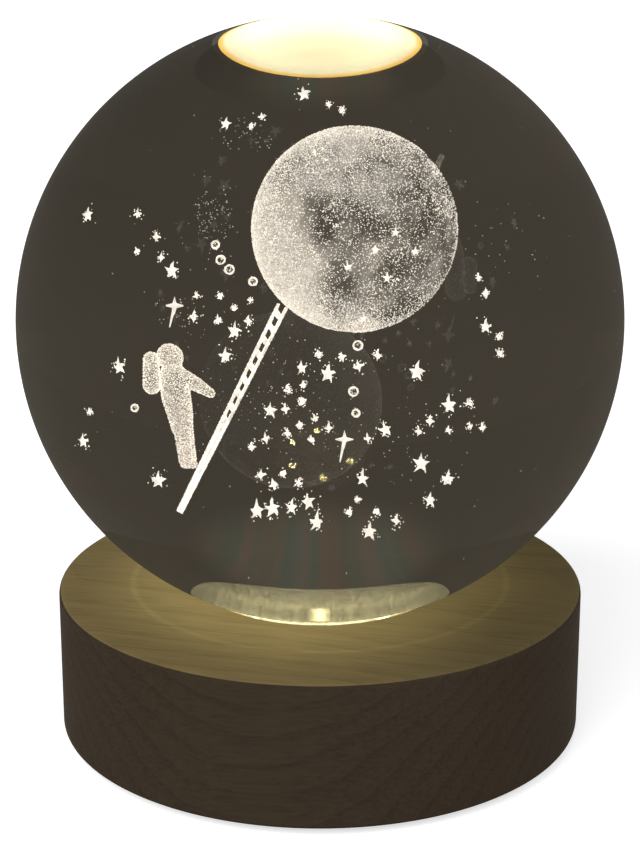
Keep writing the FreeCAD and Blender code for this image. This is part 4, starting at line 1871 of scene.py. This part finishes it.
@dataclass
class PowerPort:
    """The power socket at the back, its board and the two leads."""

    shell: Metal = Metal(slot="socket_steel", colour=srgb(196, 198, 202), roughness=0.24)
    tongue: Moulded = Moulded(slot="socket_black", colour=srgb(24, 24, 26), roughness=0.42)
    board: LitBoard = LitBoard(slot="green_board", lacquer=srgb(24, 92, 52))
    red: Moulded = Moulded(slot="lead_red", colour=srgb(172, 28, 26), roughness=0.4)
    black: Moulded = Moulded(slot="lead_black", colour=srgb(26, 26, 28), roughness=0.4)
    solder: Metal = Metal(slot="solder", colour=srgb(190, 192, 194), roughness=0.3)
    contact: Metal = Metal(slot="solder", colour=srgb(212, 178, 92), roughness=0.2)
    contact_count: int = 12
    contact_pitch: float = 0.5 * MM
    contact_size: tuple[float, float, float] = (0.28 * MM, 4.2 * MM, 0.04 * MM)
    contact_setback: float = 0.5 * MM
    tongue_half: float = 0.35 * MM

    def contacts(self) -> bpy.types.Object:
        """The thin gilt contacts on both faces of the socket's tongue.

        Returns:
            The contacts as one piece.
        """
        tongue_end = extent("socket_tongue")[1].y
        shell_low, shell_high = extent("socket_shell")
        centre = (shell_low.z + shell_high.z) / 2
        size = Vector(self.contact_size)
        form = bmesh.new()
        for face in (-1, 1):
            for k in range(self.contact_count):
                place = Vector(((k - (self.contact_count - 1) / 2) * self.contact_pitch,
                                tongue_end - self.contact_setback - size.y / 2,
                                centre + face * (self.tongue_half + size.z / 2)))
                for corner in bmesh.ops.create_cube(form, size=1.0)["verts"]:
                    corner.co = place + corner.co * size
        return piece_from("socket_contacts", mesh_of("socket_contacts", form, outward=False),
                          Body.BASE, self.contact)

    def build(self) -> list[bpy.types.Object]:
        """Dresses the port's nodes and adds the contacts.

        Returns:
            The pieces.
        """
        dressed = dress_all({"socket_shell": self.shell, "socket_tongue": self.tongue,
                             "port_board": self.board, "port_resistors": BLACK_CHIP,
                             "lead_red": self.red, "lead_black": self.black,
                             "solder_joints": self.solder})
        return [*dressed, self.contacts()]


@dataclass
class Underside:
    """The bottom cover with its countersunk screws and its four feet."""

    cover: Moulded = Moulded(slot="cover_plastic", colour=srgb(38, 36, 35), roughness=0.55,
                             skin=2.2, depth=0.05)
    rubber: Moulded = Moulded(slot="foot_rubber", colour=srgb(30, 30, 31), roughness=0.78,
                              skin=1.6, depth=0.05)
    steel: Metal = Metal(slot="screw_steel", colour=srgb(176, 178, 182), roughness=0.26)

    def build(self) -> list[bpy.types.Object]:
        """Dresses the cover, the feet and every screw.

        Returns:
            The pieces.
        """
        return dress_all({"bottom_cover": self.cover, "rubber_feet": self.rubber,
                          "cover_screws": self.steel, "board_screws": self.steel,
                          "port_screws": self.steel})


# ---------------------------------------------------------------- floor, light and camera


@dataclass(frozen=True)
class PaleFloor(Finish):
    """A white table top that keeps the lamp's shadow.

    Attributes:
        own_white: the white that it adds for the camera.
        through_glass: the white that it adds for rays that glass has mirrored or bent.
    """

    slot: str = "floor"
    colour: Colour = (0.8, 0.8, 0.8)
    own_white: float = 0.62
    through_glass: float = 0.37

    def build(self, nodes: Nodes) -> None:
        """Adds white for the rays that see the floor, and none for those that light things.

        Args:
            nodes: the new material's empty node tree.
        """
        level = nodes.math("MAXIMUM", nodes.times(nodes.path("Is Camera Ray"), self.own_white),
                           nodes.times(nodes.from_glass(), self.through_glass))
        nodes.surface({"Base Color": self.colour, "Roughness": 0.9,
                       "Emission Color": WHITE, "Emission Strength": level})


@dataclass
class Studio:
    """The white floor and surroundings, soft light, and the camera of the photograph.

    Attributes:
        focal_pixels: the camera's focal length in pixels of the picture.
        picture_height: the picture's height in pixels.
        distance: from the camera to the point that it looks at.
        elevation: how far above the horizon the camera stands, in degrees.
        aim_height: the height of the point that it looks at.
        sensor: the camera's sensor in millimetres.
        floor_size: the width of the floor.
        around: how strongly the surroundings light things.
        key_strength: the strength of the key light.
        fill_share: the fill light's share of that.
        key_place: where the key light stands, in degrees towards the right and up.
        fill_place: where the fill light stands.
        softness: how wide both lights are, in degrees.
    """

    focal_pixels: float = 2164.5
    picture_height: float = 847.0
    distance: float = 291.3 * MM
    elevation: float = 17.465
    aim_height: float = 43.03 * MM
    sensor: float = 36.0
    floor_size: float = 12.0
    around: float = 0.22
    key_strength: float = 2.3
    fill_share: float = 0.35
    key_place: Point = (-35.0, 38.0)
    fill_place: Point = (60.0, 30.0)
    softness: float = 50.0

    def floor(self) -> bpy.types.Object:
        """The floor, which isn't part of the lamp.

        Returns:
            The floor.
        """
        form = bmesh.new()
        bmesh.ops.create_grid(form, x_segments=8, y_segments=8, size=self.floor_size / 2)
        mesh = mesh_of("floor", form, outward=False)
        mesh.materials.append(material(PaleFloor()))
        floor = placed("floor", mesh)
        return floor

    def surroundings(self) -> None:
        """White walls to the eye, and mild even light from them."""
        world = bpy.data.worlds.new("studio")
        bpy.context.scene.world = world
        nodes = Nodes(world)
        seen = nodes.math("MAXIMUM", nodes.path("Is Camera Ray"), nodes.from_glass())
        level = nodes.ramp(seen, (0.0, self.around), (1.0, 1.0), soft=False)
        sky = nodes.add("Background", {"Color": WHITE, "Strength": level})
        nodes.add("OutputWorld", {"Surface": sky.outputs[0]})

    def light(self, name: str, strength: float, place: Point) -> None:
        """Adds a soft light from far away that glass and metal don't mirror.

        Args:
            name: the light's name.
            strength: its strength.
            place: how far it stands towards the right and up, in degrees from the front.
        """
        lamp = bpy.data.lights.new(name, "SUN")
        lamp.energy = strength
        lamp.angle = math.radians(self.softness)
        holder = placed(name, lamp)
        side, up = (math.radians(angle) for angle in place)
        towards = Vector((math.sin(side) * math.cos(up), -math.cos(side) * math.cos(up),
                          math.sin(up)))
        holder.rotation_euler = towards.to_track_quat("Z", "Y").to_euler()
        holder.visible_glossy = False
        holder.visible_transmission = False

    def camera(self) -> None:
        """Stands the camera where the photograph's stood."""
        lens = bpy.data.cameras.new("camera")
        lens.sensor_width = self.sensor
        lens.lens = self.focal_pixels / self.picture_height * self.sensor
        lens.clip_start, lens.clip_end = 1 * MM, 50.0
        holder = placed("camera", lens)
        up = math.radians(self.elevation)
        back = Vector((0, -math.cos(up), math.sin(up)))
        holder.location = Vector((0, 0, self.aim_height)) + back * self.distance
        holder.rotation_mode = "QUATERNION"
        holder.rotation_quaternion = (-back).to_track_quat("-Z", "Y")
        bpy.context.scene.camera = holder

    def build(self) -> list[bpy.types.Object]:
        """Sets up floor, light, camera and the way that light is followed.

        Returns:
            The floor.
        """
        bpy.context.scene.view_settings.view_transform = "Standard"
        paths = bpy.context.scene.cycles
        paths.max_bounces = paths.transmission_bounces = 16
        paths.glossy_bounces = 12
        paths.transparent_max_bounces = 24
        paths.min_light_bounces = 7
        paths.sample_clamp_indirect = 0
        paths.caustics_refractive = paths.caustics_reflective = False
        self.surroundings()
        self.light("key_light", self.key_strength, self.key_place)
        self.light("fill_light", self.key_strength * self.fill_share, self.fill_place)
        self.camera()
        return [self.floor()]


def main() -> None:
    """Builds every part of the lamp."""
    logging.basicConfig(level=logging.INFO, format="%(name)s: %(message)s")
    parts = [Studio(), CrystalBall(), EngravedMoon(), EngravedFigures(), StarField(),
             WoodenBase(), LightWell(), PowerPort(), Underside()]
    for part in parts:
        for piece in part.build():
            LOG.info("%s: %s, %d faces", type(part).__name__, piece.name,
                     len(piece.data.polygons))


if __name__ == "__main__":
    main()
